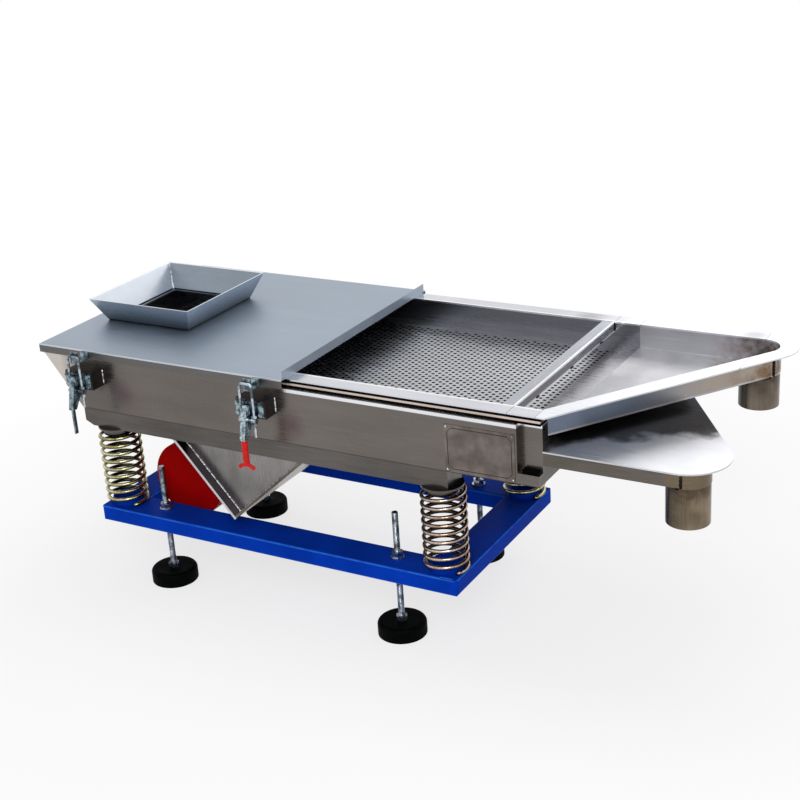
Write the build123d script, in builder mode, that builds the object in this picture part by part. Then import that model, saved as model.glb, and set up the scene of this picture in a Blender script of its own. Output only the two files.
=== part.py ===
from build123d import *
import math
import os

# Linear vibrating sieve, in millimetres. +X runs to the discharge end, -Y is the front, +Z is up.
# The origin is on the floor, midway along the machine and midway between its side walls.

# Base frame and levelling feet
base_length = 905
base_width = 464
rail_width = 80
rail_height = 36
rail_wall = 4
rail_top = 176
rail_round = 5
base_corner_round = 10
stud_radius = 7
stud_top = 279
stud_hole_clearance = 0.5
thread_clearance = 0.05
collar_flats = 22
collar_height = 9
pad_radius = 52
pad_height = 31
pad_round = 9
foot_inset_y = 46
foot_inset_feed = 151
foot_inset_discharge = 159
washer_radius = 15
washer_thickness = 2.5
nut_flats = 22
nut_height = 11

# Coil springs and their seats
spring_inset_feed = 43
spring_inset_discharge = 45
spring_inset_y = 47
wire_radius = 4.5
coil_radius = 43
coil_turns = 9.6
coil_start = -35
spring_gap = 0.2
seat_radius = 44
seat_thickness = 4
spigot_radius = 34
spigot_wall = 5
spigot_height = 14

# Trough
sheet = 3
trough_length = 1118
trough_half_width = 289
wall_bottom = 445
wall_top = 562
floor_top = 485
feed_slope_run = 90
throat_length = 44
throat_inset = 17
ledge_height = 22
flange_width = 41
base_setback = 43
buffer_width = 12
buffer_height = 6
buffer_end_gap = 7

# Side beams over the springs
beam_bottom = 366
beam_width = 60
beam_wall = 3
beam_chamfer = (21, 10)
beam_feed_overhang = 22
beam_discharge_gap = 17

# Rim seals
seal_inset = 10
seal_side_gap = 9.5
seal_width = 30
gasket_height = 5
strip_height = 4.5

# Sieve tray and upper chute
rim_width = 36
rim_thickness = 3
tray_wall = 2.5
tray_depth = 52.5
plate_thickness = 3
tray_taper_setback = 11
spout_radius = 40
spout_wall = 2
weld_ledge = 1
upper_spout_reach = 252.5
upper_spout_bottom = 458
window = 26
window_pitch = 50
window_margin = 40
bar_width = 26
bar_height = 21
bar_wall = 2
bar_drop = 1
bar_setback = 80
end_cutout_gap = 1.5

# Lower chute
chute_height = 29
chute_wall = 2.5
lower_spout_reach = 259
lower_spout_bottom = 403
lower_chute_rear = 243
cover_overlap = 2
cover_corner_radius = 79
cover_reach = 391
cover_shoulder = 42
cover_rear = 258

# Lid and hopper
lid_overhang = 4
lid_length = 622
lid_half_width = 296
lid_sheet = 2
lip_depth = 16
upstand_height = 17
upstand_inset = 8
hopper_offset = 155
hopper_base = (218, 233)
hopper_rim = (270, 290)
hopper_height = 55
hopper_wall = 2.5

# Motor mount: a motor plate and a brace plate that meet at a right angle
mount_plate = 6
motor_plate_angle = 49
mount_apex_height = 200.5
mount_apex_offset = 361
gusset_setback = 24
gusset_thickness = 5

# Vibration motor, with its axis across the machine
motor_along = 138
motor_axis_height = 108
motor_rail_gap = 7
housing_radius = 80
housing_wall = 8
stator_wall = 9
stator_end_gap = 30
rotor_gap = 1
shield_thickness = 12
shield_gap = 0.1
cap_radius = 88
cap_wall = 3
cap_depth = 43
cap_overlap = 9
shaft_radius = 15
shaft_end_gap = 8
bearing_radius = 31
bearing_clearance = 0.05
press_gap = 0.02
weight_radius = 64
weight_thickness = 16
weight_gap = 7
foot_width = 140
foot_thickness = 14
foot_web = 24
foot_web_offset = 34
motor_bolt_radius = 6
motor_bolt_clearance = 0.5
motor_bolt_offset = 59
motor_bolt_end_gap = 25
motor_bolt_flats = 18
motor_bolt_head = 7
box_size = (70, 60)
gland_radius = 9
gland_gap = 5
gland_length = 22
gland_edge = 3

# Lid clamps: places are measured outwards from the wall and up from the floor
clamp_feed_x = 122
clamp_spacing = 437
bracket_width = 70
bracket_depth = 35
bracket_bottom = 506
bracket_height = 38
clamp_base_width = 66
clamp_base_bottom = 511
clamp_base_height = 30
clamp_base_thickness = 3
ear_gap = 6.4
ear_thickness = 3
ear_reach = 19
ear_height = 18
clamp_pivot = (50, 530)
clamp_pin_radius = 3.5
clamp_trunnion = (45, 505)
trunnion_radius = 4
trunnion_boss_radius = 6
trunnion_boss_start = 9.8
trunnion_half_length = 20
clamp_bolt = (27, 10)
clamp_bolt_flats = 9
clamp_bolt_height = 4
lever_half_width = 6
lever_head_radius = 8
lever_boss_radius = 6.5
lever_arm_width = 11
lever_bottom = 470
lever_offset = 66
grip_radius = 6.5
grip_length = 54
fork_radius = 4
fork_length = 20
fork_angle = 118
bare_bar = (4, 8)
hook_half_width = 14.5
hook_radius = 3
hook_bend = 8
hook_bar_height = 581
hook_leg_bottom = 470
hook_nut_flats = 10
hook_nut_height = 5
keeper_half_width = 10
keeper_sheet = 3
keeper_reach = 34
keeper_bottom = 564
keeper_plate_top = 579
keeper_tip = 589

# Nameplate, left blank
nameplate_size = (144, 96)
nameplate_thickness = 0.8
nameplate_end_gap = 4
nameplate_lift = 2
rivet_radius = 2.5
rivet_height = 1.2
rivet_inset = 6

# Places that follow from the sizes above
chute_corner = spout_radius + weld_ledge
tray_corner = chute_corner - tray_wall
overall_length = (
    lid_overhang + trough_length + throat_length + upper_spout_reach + tray_corner + rim_width
)
lid_x0 = -overall_length / 2
lid_x1 = lid_x0 + lid_length
trough_x0 = lid_x0 + lid_overhang
trough_x1 = trough_x0 + trough_length
end_x = trough_x1 + throat_length
base_x0 = trough_x0 + base_setback
base_x1 = base_x0 + base_length
rail_bottom = rail_top - rail_height
floor_bottom = floor_top - sheet
throat_half_width = trough_half_width - throat_inset
ledge_top = wall_bottom + ledge_height
flange_inner = trough_half_width - flange_width
feed_slope = feed_slope_run / (wall_top - wall_bottom)
seal_x0 = trough_x0 + seal_inset
seal_half_width = trough_half_width - seal_side_gap
seal_top = wall_top + 2 * gasket_height + strip_height
rim_top = seal_top + rim_thickness
tray_half_width = seal_half_width - rim_width
tray_bottom = rim_top - tray_depth
tray_x0 = seal_x0 + rim_width
taper_x = end_x - tray_taper_setback
upper_spout = (end_x + upper_spout_reach, tray_half_width - tray_corner)
lower_spout = (end_x + lower_spout_reach, -throat_half_width + chute_corner)
chute_bottom = floor_bottom
chute_top = chute_bottom + chute_height
cover_bottom = chute_top - sheet
lid_bottom = rim_top
lid_top = lid_bottom + lid_sheet
hopper_x = lid_x0 + hopper_offset
beam_x0 = base_x0 - beam_feed_overhang
beam_x1 = base_x1 - beam_discharge_gap
spring_y = base_width / 2 - spring_inset_y
beam_outer = spring_y + beam_width / 2
motor_length = base_width - 2 * (rail_width + motor_rail_gap)
housing_length = motor_length - 2 * (shield_thickness + cap_depth)
stator_length = housing_length - 2 * stator_end_gap
shaft_length = motor_length - 2 * (cap_wall + shaft_end_gap)
motor_bolt_spacing = housing_length - 2 * motor_bolt_end_gap
clamp_xs = (trough_x0 + clamp_feed_x, trough_x0 + clamp_feed_x + clamp_spacing)

spring_points = {
    "fl": (base_x0 + spring_inset_feed, -spring_y),
    "fr": (base_x1 - spring_inset_discharge, -spring_y),
    "rl": (base_x0 + spring_inset_feed, spring_y),
    "rr": (base_x1 - spring_inset_discharge, spring_y),
}
foot_y = base_width / 2 - foot_inset_y
foot_points = {
    "fl": (base_x0 + foot_inset_feed, -foot_y),
    "fr": (base_x1 - foot_inset_discharge, -foot_y),
    "rl": (base_x0 + foot_inset_feed, foot_y),
    "rr": (base_x1 - foot_inset_discharge, foot_y),
}
clamp_points = {
    "fl": (clamp_xs[0], -1),
    "fr": (clamp_xs[1], -1),
}

os.makedirs("parts", exist_ok=True)


def save(name, *solids):
    """Label a piece, or a group of like pieces, and write it to its own STEP file."""
    piece = solids[0] if len(solids) == 1 else Compound([s for part in solids for s in part.solids()])
    piece.label = name
    export_step(piece, f"parts/{name}.step")


def block(x, y, z, mode=Mode.ADD):
    """Box between two limits along each axis, in the part being built."""
    with Locations((sum(x) / 2, sum(y) / 2, sum(z) / 2)):
        Box(abs(x[1] - x[0]), abs(y[1] - y[0]), abs(z[1] - z[0]), mode=mode)


def upright(side, half_width):
    """Plane of an upright sheet's outer face: local x is +X and local y is +Z."""
    return Plane.XZ.offset(-side * half_width)


def polygon(*points):
    """Straight-sided face through the points, in the sketch being built."""
    Polygon(*points, align=None)


# Base frame


def mitred_rail(start, along, inward, length, holes):
    """Tube whose outer lower edge runs from start, cut at 45 degrees at both ends."""
    along = Vector(*along)
    inward = Vector(*inward)
    start = Vector(*start)
    with BuildPart() as rail:
        with BuildSketch(Plane(origin=start, x_dir=inward, z_dir=along)):
            with Locations((rail_width / 2, rail_height / 2)):
                RectangleRounded(rail_width, rail_height, rail_round)
                Rectangle(rail_width - 2 * rail_wall, rail_height - 2 * rail_wall, mode=Mode.SUBTRACT)
        extrude(amount=length)
        split(bisect_by=Plane(origin=start, z_dir=along - inward), keep=Keep.TOP)
        far_end = start + along * length
        split(bisect_by=Plane(origin=far_end, z_dir=-(along + inward)), keep=Keep.TOP)
        with BuildSketch(Plane.XY.offset(rail_bottom)):
            with Locations((base_x0 + base_length / 2, 0)):
                RectangleRounded(base_length, base_width, base_corner_round)
        extrude(amount=rail_height, mode=Mode.INTERSECT)
        for x, y in holes:
            with Locations((x, y, rail_bottom + rail_height / 2)):
                Cylinder(stud_radius + stud_hole_clearance, rail_height, mode=Mode.SUBTRACT)
    return rail.part


half_base = base_width / 2
front_holes = (foot_points["fl"], foot_points["fr"])
rear_holes = (foot_points["rl"], foot_points["rr"])
rail_plans = {
    "base_front_rail": ((base_x0, -half_base, rail_bottom), (1, 0, 0), (0, 1, 0), base_length, front_holes),
    "base_discharge_rail": ((base_x1, -half_base, rail_bottom), (0, 1, 0), (-1, 0, 0), base_width, ()),
    "base_rear_rail": ((base_x1, half_base, rail_bottom), (-1, 0, 0), (0, -1, 0), base_length, rear_holes),
    "base_feed_rail": ((base_x0, half_base, rail_bottom), (0, -1, 0), (1, 0, 0), base_width, ()),
}
for rail_name, rail_plan in rail_plans.items():
    save(rail_name, mitred_rail(*rail_plan))

with BuildPart() as lower_seats:
    with BuildSketch(Plane.XY.offset(rail_top)):
        with Locations(*spring_points.values()):
            Circle(spigot_radius)
            Circle(spigot_radius - spigot_wall, mode=Mode.SUBTRACT)
    extrude(amount=spigot_height)
save("lower_spring_seats", lower_seats.part)

with BuildPart() as lock_nuts:
    with BuildSketch(Plane.XY.offset(rail_top)):
        with Locations(*foot_points.values()):
            Circle(washer_radius)
            Circle(stud_radius + thread_clearance, mode=Mode.SUBTRACT)
    extrude(amount=washer_thickness)
    with BuildSketch(Plane.XY.offset(rail_top + washer_thickness)):
        with Locations(*foot_points.values()):
            RegularPolygon(nut_flats / 2, 6, major_radius=False)
            Circle(stud_radius + thread_clearance, mode=Mode.SUBTRACT)
    extrude(amount=nut_height)
save("foot_lock_nuts", lock_nuts.part)

# Coil springs, each one turn of wire after another between the rail and its upper seat
spring_top = beam_bottom - seat_thickness - spring_gap
coil_height = spring_top - rail_top - 2 * wire_radius
for corner, (x, y) in spring_points.items():
    turned = Plane(origin=(x, y, rail_top + wire_radius)).rotated((0, 0, coil_start))
    with BuildPart() as spring:
        with BuildLine(turned) as coil:
            Helix(pitch=coil_height / coil_turns, height=coil_height, radius=coil_radius)
        with BuildSketch(Plane(origin=coil.line @ 0, z_dir=coil.line % 0)):
            Circle(wire_radius)
        sweep(is_frenet=True)
    save(f"spring_{corner}", spring.part)

# Levelling feet
for corner, (x, y) in foot_points.items():
    with BuildPart() as stud:
        with BuildSketch(Plane.XY.offset(pad_height)):
            with Locations((x, y)):
                Circle(stud_radius)
        extrude(amount=stud_top - pad_height)
        with BuildSketch(Plane.XY.offset(pad_height)):
            with Locations((x, y)):
                RegularPolygon(collar_flats / 2, 6, major_radius=False)
        extrude(amount=collar_height)
    save(f"foot_stud_{corner}", stud.part)
    with BuildPart() as pad:
        with BuildSketch():
            with Locations((x, y)):
                Circle(pad_radius)
        extrude(amount=pad_height)
        fillet(pad.edges().group_by(Axis.Z)[-1], radius=pad_round)
    save(f"foot_pad_{corner}", pad.part)


# Trough: two side walls with a stepped-in throat, a bent floor sheet and an end plate


def trough_wall(side):
    """Side wall with its inward flange, the throat beside the discharge end and the throat's ledge."""
    outer = side * trough_half_width
    throat = side * throat_half_width
    throat_inside = side * (throat_half_width - sheet)
    with BuildPart() as wall:
        with BuildSketch(upright(side, trough_half_width)):
            polygon(
                (trough_x0, wall_top),
                (trough_x0 + feed_slope_run, wall_bottom),
                (end_x, wall_bottom),
                (end_x, ledge_top),
                (trough_x1, ledge_top),
                (trough_x1, wall_top),
            )
        extrude(amount=side * sheet)
        block((trough_x1 - sheet, trough_x1), (throat_inside, outer), (ledge_top - sheet, wall_top))
        block((trough_x1 - sheet, end_x), (throat_inside, throat), (ledge_top - sheet, wall_top))
        block((trough_x1 - sheet, end_x), (throat_inside, outer), (ledge_top - sheet, ledge_top))
        block((trough_x0, trough_x1), (side * flange_inner, outer), (wall_top - sheet, wall_top))
        block((trough_x1, end_x), (side * flange_inner, throat), (wall_top - sheet, wall_top))
    return wall.part


save("trough_front_wall", trough_wall(-1))
save("trough_rear_wall", trough_wall(1))

sheet_run = sheet * math.hypot(1, feed_slope)
bend_height = wall_top - sheet
floor_half_width = trough_half_width - sheet
end_half_width = throat_half_width - sheet
with BuildPart() as trough_floor:
    with BuildSketch(upright(-1, floor_half_width)):
        polygon(
            (trough_x0 + feed_slope * sheet, bend_height),
            (trough_x0 + feed_slope * (wall_top - floor_bottom), floor_bottom),
            (end_x - sheet, floor_bottom),
            (end_x - sheet, floor_top),
            (trough_x0 + feed_slope * (wall_top - floor_top) + sheet_run, floor_top),
            (trough_x0 + feed_slope * sheet + sheet_run, bend_height),
        )
    extrude(amount=-2 * floor_half_width)
    block((trough_x0, trough_x0 + flange_width), (-flange_inner, flange_inner), (bend_height, wall_top))
    for side in (-1, 1):
        notch = (side * end_half_width, side * trough_half_width)
        block((trough_x1 - sheet, end_x), notch, (floor_bottom, floor_top), Mode.SUBTRACT)
save("trough_floor", trough_floor.part)

tray_way = tray_half_width + tray_wall + end_cutout_gap
with BuildPart() as end_plate:
    block((end_x - sheet, end_x), (-end_half_width, end_half_width), (wall_bottom, wall_top - sheet))
    block((end_x - sheet, end_x), (-floor_half_width, floor_half_width), (wall_bottom, ledge_top - sheet))
    block((end_x - sheet, end_x), (-tray_way, tray_way), (tray_bottom - sheet, wall_top), Mode.SUBTRACT)
    block(
        (end_x - sheet, end_x),
        (-throat_half_width + chute_wall + sheet, lower_chute_rear - 2 * chute_wall),
        (floor_top, cover_bottom),
        Mode.SUBTRACT,
    )
save("trough_end_plate", end_plate.part)


# Rim seals: two gaskets with a steel strip between them, open at the discharge end


def seal_ring(bottom, height):
    """Flat U-shaped strip round the feed end and both sides of the trough's flange."""
    inner_half_width = seal_half_width - seal_width
    with BuildPart() as ring:
        block((seal_x0, end_x), (-seal_half_width, seal_half_width), (bottom, bottom + height))
        block(
            (seal_x0 + seal_width, end_x),
            (-inner_half_width, inner_half_width),
            (bottom, bottom + height),
            Mode.SUBTRACT,
        )
    return ring.part


strip_bottom = wall_top + gasket_height
with BuildPart() as buffers:
    for side in (-1, 1):
        block(
            (trough_x1 + buffer_end_gap, end_x - buffer_end_gap),
            (side * throat_half_width, side * (throat_half_width + buffer_width)),
            (ledge_top, ledge_top + buffer_height),
        )
lower_gasket = seal_ring(wall_top, gasket_height)
upper_gasket = seal_ring(strip_bottom + strip_height, gasket_height)
save("seal_gaskets", lower_gasket, upper_gasket, buffers.part)
save("seal_strip", seal_ring(strip_bottom, strip_height))


# Side beams and upper spring seats


def side_beam(side):
    """Box that the trough's floor and feed slope close on top, with its feed end chamfered below."""
    slope_foot = trough_x0 + feed_slope * (wall_top - floor_bottom)
    with BuildPart() as beam:
        with BuildSketch(upright(side, beam_outer)):
            polygon(
                (slope_foot, floor_bottom),
                (beam_x0, wall_top - (beam_x0 - trough_x0) / feed_slope),
                (beam_x0, beam_bottom + beam_chamfer[1]),
                (beam_x0 + beam_chamfer[0], beam_bottom),
                (beam_x1, beam_bottom),
                (beam_x1, floor_bottom),
            )
        extrude(amount=side * beam_width)
        upper_faces = beam.faces().filter_by(lambda face: face.normal_at().Z > 0)
        offset(amount=-beam_wall, openings=upper_faces, kind=Kind.INTERSECTION)
    return beam.part


save("front_beam", side_beam(-1))
save("rear_beam", side_beam(1))

with BuildPart() as upper_seats:
    with BuildSketch(Plane.XY.offset(beam_bottom)):
        with Locations(*spring_points.values()):
            Circle(seat_radius)
    extrude(amount=-seat_thickness)
    with BuildSketch(Plane.XY.offset(beam_bottom - seat_thickness)):
        with Locations(*spring_points.values()):
            Circle(spigot_radius)
            Circle(spigot_radius - spigot_wall, mode=Mode.SUBTRACT)
    extrude(amount=-spigot_height)
save("upper_spring_seats", upper_seats.part)

# Motor mount: the motor plate climbs from the apex towards the feed end, the brace plate the other way
slant = math.radians(motor_plate_angle)
apex = Vector(base_x0 + mount_apex_offset, 0, mount_apex_height)
up_plate = Vector(-math.cos(slant), 0, math.sin(slant))
up_brace = Vector(math.sin(slant), 0, math.cos(slant))
mount_rise = beam_bottom - mount_apex_height
plate_length = mount_rise / math.sin(slant)
brace_length = mount_rise / math.cos(slant)
plate_bevel = mount_plate / math.tan(slant)


def mount_point(plate_run, brace_run):
    """Point in the upright plane, from the apex along the motor plate and along the brace plate."""
    place = apex + up_plate * plate_run + up_brace * brace_run
    return (place.X, place.Z)


motor_bolt_runs = (motor_along - motor_bolt_offset, motor_along + motor_bolt_offset)
with BuildPart() as motor_plate:
    with BuildSketch(upright(-1, beam_outer)):
        polygon(
            mount_point(0, 0),
            mount_point(plate_length, 0),
            mount_point(plate_length - plate_bevel * math.tan(slant) ** 2, mount_plate),
            mount_point(0, mount_plate),
        )
    extrude(amount=-2 * beam_outer)
    for run in motor_bolt_runs:
        for y in (-motor_bolt_spacing / 2, motor_bolt_spacing / 2):
            hole_x, hole_z = mount_point(run, 0)
            with BuildSketch(Plane(origin=(hole_x, y, hole_z), x_dir=(0, 1, 0), z_dir=up_brace)):
                Circle(motor_bolt_radius + motor_bolt_clearance)
            extrude(amount=mount_plate, mode=Mode.SUBTRACT)
save("motor_plate", motor_plate.part)

with BuildPart() as brace_plate:
    with BuildSketch(upright(-1, beam_outer)):
        polygon(
            mount_point(0, mount_plate),
            mount_point(0, brace_length),
            mount_point(mount_plate, brace_length - mount_plate * math.tan(slant)),
            mount_point(mount_plate, mount_plate),
        )
    extrude(amount=-2 * beam_outer)
save("brace_plate", brace_plate.part)

inner_rise = 1 - mount_plate * (math.sin(slant) + math.cos(slant)) / mount_rise
gusset_half_width = beam_outer - gusset_setback
gusset_corners = (
    mount_point(mount_plate, mount_plate),
    mount_point(mount_plate + plate_length * inner_rise, mount_plate),
    mount_point(mount_plate, mount_plate + brace_length * inner_rise),
)
with BuildPart() as gussets:
    for side in (-1, 1):
        with BuildSketch(upright(side, gusset_half_width)):
            polygon(*gusset_corners)
        extrude(amount=side * gusset_thickness)
save("mount_gussets", gussets.part)

# Vibration motor on the motor plate's lower face
motor_centre = apex + up_plate * motor_along - up_brace * motor_axis_height


def motor_plane(y):
    """Plane across the motor's axis: local x climbs the motor plate, local y points at the plate."""
    return Plane(origin=(motor_centre.X, y, motor_centre.Z), x_dir=up_plate, z_dir=(0, 1, 0))


def motor_ring(outer, inner, y, length):
    """Ring round the motor's axis, from y along +Y."""
    with BuildPart() as ring:
        with BuildSketch(motor_plane(y)):
            Circle(outer)
            Circle(inner, mode=Mode.SUBTRACT)
        extrude(amount=length)
    return ring.part


foot_face = motor_axis_height - foot_thickness
with BuildPart() as housing:
    with BuildSketch(motor_plane(-housing_length / 2)):
        Circle(housing_radius)
        with Locations((0, motor_axis_height - foot_thickness / 2)):
            Rectangle(foot_width, foot_thickness)
        with Locations((-foot_web_offset, foot_face / 2), (foot_web_offset, foot_face / 2)):
            Rectangle(foot_web, foot_face)
        Circle(housing_radius - housing_wall, mode=Mode.SUBTRACT)
    extrude(amount=housing_length)
    for run in motor_bolt_runs:
        for y in (-motor_bolt_spacing / 2, motor_bolt_spacing / 2):
            hole_x, hole_z = mount_point(run, -foot_thickness)
            with BuildSketch(Plane(origin=(hole_x, y, hole_z), x_dir=(0, 1, 0), z_dir=up_brace)):
                Circle(motor_bolt_radius + motor_bolt_clearance)
            extrude(amount=foot_thickness, mode=Mode.SUBTRACT)
save("motor_housing", housing.part)

stator_radius = housing_radius - housing_wall
stator = motor_ring(stator_radius, stator_radius - stator_wall, -stator_length / 2, stator_length)
save("motor_stator", stator)

shield_radius = cap_radius - cap_wall - shield_gap
shields = []
for y in (-housing_length / 2 - shield_thickness, housing_length / 2):
    shields.append(motor_ring(shield_radius, bearing_radius, y, shield_thickness))
    shields.append(
        motor_ring(bearing_radius - press_gap, shaft_radius + bearing_clearance, y, shield_thickness)
    )
save("motor_end_shields", *shields)

cap_start = housing_length / 2 + shield_thickness - cap_overlap
cap_length = motor_length / 2 - cap_start
caps = []
for side in (-1, 1):
    with BuildPart() as cap:
        with BuildSketch(motor_plane(side * cap_start)):
            Circle(cap_radius)
        extrude(amount=side * cap_length)
        rounds = cap.edges().filter_by(GeomType.CIRCLE).sort_by(Axis.Y)
        fillet(rounds[-1 if side > 0 else 0], radius=cap_wall)
        with BuildSketch(motor_plane(side * cap_start)):
            Circle(cap_radius - cap_wall)
        extrude(amount=side * (cap_length - cap_wall), mode=Mode.SUBTRACT)
    caps.append(cap.part)
save("motor_end_caps", *caps)

bolts = []
bolt_grip = foot_thickness + mount_plate
for run in motor_bolt_runs:
    for y in (-motor_bolt_spacing / 2, motor_bolt_spacing / 2):
        head_x, head_z = mount_point(run, -foot_thickness)
        bolt_plane = Plane(origin=(head_x, y, head_z), x_dir=(0, 1, 0), z_dir=up_brace)
        with BuildPart() as bolt:
            with BuildSketch(bolt_plane):
                Circle(motor_bolt_radius)
            extrude(amount=bolt_grip)
            with BuildSketch(bolt_plane.offset(-motor_bolt_head), bolt_plane.offset(bolt_grip)):
                RegularPolygon(motor_bolt_flats / 2, 6, major_radius=False)
            extrude(amount=motor_bolt_head)
        bolts.append(bolt.part)
save("motor_bolts", *bolts)

# Terminal box, tall enough for its gland to look past the end cap
box_base = math.sqrt(housing_radius**2 - (box_size[0] / 2) ** 2)
gland_run = cap_radius + gland_radius + gland_gap
box_reach = gland_run + gland_radius + gland_edge - box_base
box_plane = Plane(
    origin=motor_centre + up_plate * box_base,
    x_dir=(0, 1, 0),
    z_dir=up_plate,
)
with BuildPart() as terminal_box:
    with BuildSketch(box_plane):
        Rectangle(*box_size)
    extrude(amount=box_reach)
    with BuildSketch(motor_plane(-box_size[0])):
        Circle(housing_radius)
    extrude(amount=2 * box_size[0], mode=Mode.SUBTRACT)
gland_base = motor_centre + up_plate * gland_run + Vector(0, box_size[0] / 2, 0)
with BuildPart() as gland:
    with BuildSketch(Plane(origin=gland_base, x_dir=up_plate, z_dir=(0, 1, 0))):
        Circle(gland_radius)
        Circle(gland_radius / 2, mode=Mode.SUBTRACT)
    extrude(amount=gland_length)
save("terminal_box", terminal_box.part, gland.part)

# Rotor: shaft with its core, and an eccentric weight at each end
rotor_radius = stator_radius - stator_wall - rotor_gap
with BuildPart() as rotor_shaft:
    with BuildSketch(motor_plane(-shaft_length / 2)):
        Circle(shaft_radius)
    extrude(amount=shaft_length)
    with BuildSketch(motor_plane(-stator_length / 2)):
        Circle(rotor_radius)
    extrude(amount=stator_length)
save("rotor_shaft", rotor_shaft.part)

weight_start = housing_length / 2 + shield_thickness + weight_gap
weights = []
for side in (-1, 1):
    hanging = Plane(
        origin=(motor_centre.X, side * weight_start, motor_centre.Z),
        x_dir=(-1, 0, 0),
        z_dir=(0, 1, 0),
    )
    with BuildPart() as weight:
        with BuildSketch(hanging):
            Circle(weight_radius)
            with Locations((0, weight_radius / 2)):
                Rectangle(2 * weight_radius, weight_radius, mode=Mode.SUBTRACT)
            Circle(shaft_radius + housing_wall)
            Circle(shaft_radius + press_gap, mode=Mode.SUBTRACT)
        extrude(amount=side * weight_thickness)
    weights.append(weight.part)
save("eccentric_weights", *weights)

# Lower chute for the fines, with its spout at the front corner


def tangent_point(start, centre, radius, turn):
    """Where a line from start touches a circle, on the side given by turn."""
    gap = Vector(centre[0] - start[0], centre[1] - start[1], 0)
    lean = math.atan2(gap.Y, gap.X) + turn * math.asin(radius / gap.length)
    run = math.sqrt(gap.length**2 - radius**2)
    return (start[0] + run * math.cos(lean), start[1] + run * math.sin(lean))


def arc_middle(centre, radius, first, last):
    """Point of an arc halfway between two of its points."""
    aim = Vector(first[0] + last[0] - 2 * centre[0], first[1] + last[1] - 2 * centre[1], 0).normalized()
    return (centre[0] + radius * aim.X, centre[1] + radius * aim.Y)


def lower_chute_plan(shrink):
    """Plan of the lower chute: along the front wall, round the spout and back to the rear corner."""
    radius = chute_corner - shrink
    front = (end_x - chute_height, -throat_half_width + shrink)
    touch = (lower_spout[0], -throat_half_width + shrink)
    rear = (end_x - chute_height, lower_chute_rear - shrink)
    leave = tangent_point(rear, lower_spout, radius, 1)
    with BuildSketch() as plan:
        with BuildLine():
            Line(front, touch)
            ThreePointArc(touch, arc_middle(lower_spout, radius, touch, leave), leave)
            Line(leave, rear)
            Line(rear, front)
        make_face()
    return plan.sketch


chute_outside = lower_chute_plan(0)
chute_inside = lower_chute_plan(chute_wall)
with BuildPart() as lower_chute:
    with BuildSketch(Plane.XY.offset(chute_bottom)):
        add(chute_outside)
    extrude(amount=chute_height - sheet)
    with BuildSketch(Plane.XY.offset(floor_top)):
        add(chute_inside)
    extrude(amount=chute_height, mode=Mode.SUBTRACT)
    with Locations((*lower_spout, chute_bottom)):
        Cylinder(spout_radius - spout_wall, chute_height, mode=Mode.SUBTRACT)
    split(bisect_by=Plane.YZ.offset(end_x), keep=Keep.TOP)
save("lower_chute", lower_chute.part)

cover_front = -throat_half_width - cover_overlap
with BuildPart() as chute_cover:
    with BuildSketch(Plane.XY.offset(cover_bottom)) as cover_plan:
        polygon(
            (end_x, cover_front),
            (end_x + cover_reach, cover_front),
            (end_x + cover_shoulder, cover_rear),
            (end_x, cover_rear),
        )
        fillet(cover_plan.vertices().sort_by(Axis.X)[-1], radius=cover_corner_radius)
    extrude(amount=sheet)
save("lower_chute_cover", chute_cover.part)


def spout(name, centre, bottom, top):
    """Round pipe hanging under a chute."""
    with BuildPart() as pipe:
        with BuildSketch(Plane.XY.offset(bottom)):
            with Locations(centre):
                Circle(spout_radius)
                Circle(spout_radius - spout_wall, mode=Mode.SUBTRACT)
        extrude(amount=top - bottom)
    save(name, pipe.part)


spout("lower_spout", lower_spout, lower_spout_bottom, chute_bottom)
spout("upper_spout", upper_spout, upper_spout_bottom, tray_bottom)

# Sieve tray: frame and upper chute share one plan, parted where the chute begins to taper


def tray_plan(margin):
    """Plan inside the tray's walls, grown by margin: a rectangle that tapers round the rear spout."""
    corner = (taper_x, -tray_half_width)
    touch = tangent_point(corner, upper_spout, tray_corner, -1)
    rear = (upper_spout[0], tray_half_width)
    with BuildSketch() as plan:
        with BuildLine():
            Line((tray_x0, -tray_half_width), corner)
            Line(corner, touch)
            ThreePointArc(touch, arc_middle(upper_spout, tray_corner, touch, rear), rear)
            Line(rear, (tray_x0, tray_half_width))
            Line((tray_x0, tray_half_width), (tray_x0, -tray_half_width))
        make_face()
        if margin:
            offset(amount=margin, kind=Kind.INTERSECTION)
    return plan.sketch


tray_inside = tray_plan(0)
tray_walls = tray_plan(tray_wall)
tray_rim = tray_plan(rim_width)


def tray_shell(keep):
    """Walls and rim of the tray on one side of the taper's start."""
    with BuildPart() as shell:
        with BuildSketch(Plane.XY.offset(tray_bottom)):
            add(tray_walls)
        extrude(amount=tray_depth)
        with BuildSketch(Plane.XY.offset(seal_top)):
            add(tray_rim)
        extrude(amount=rim_thickness)
        with BuildSketch(Plane.XY.offset(tray_bottom)):
            add(tray_inside)
        extrude(amount=tray_depth, mode=Mode.SUBTRACT)
        split(bisect_by=Plane.YZ.offset(taper_x), keep=keep)
    return shell


save("sieve_frame", tray_shell(Keep.BOTTOM).part)

upper_chute_shell = tray_shell(Keep.TOP)
with BuildPart() as upper_chute:
    add(upper_chute_shell.part)
    with BuildSketch(Plane.XY.offset(tray_bottom)):
        add(tray_inside)
        with Locations(((taper_x + tray_x0) / 2, 0)):
            Rectangle(taper_x - tray_x0, 2 * tray_half_width, mode=Mode.SUBTRACT)
        with Locations(upper_spout):
            Circle(spout_radius - spout_wall, mode=Mode.SUBTRACT)
    extrude(amount=plate_thickness)
save("upper_chute", upper_chute.part)

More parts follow.
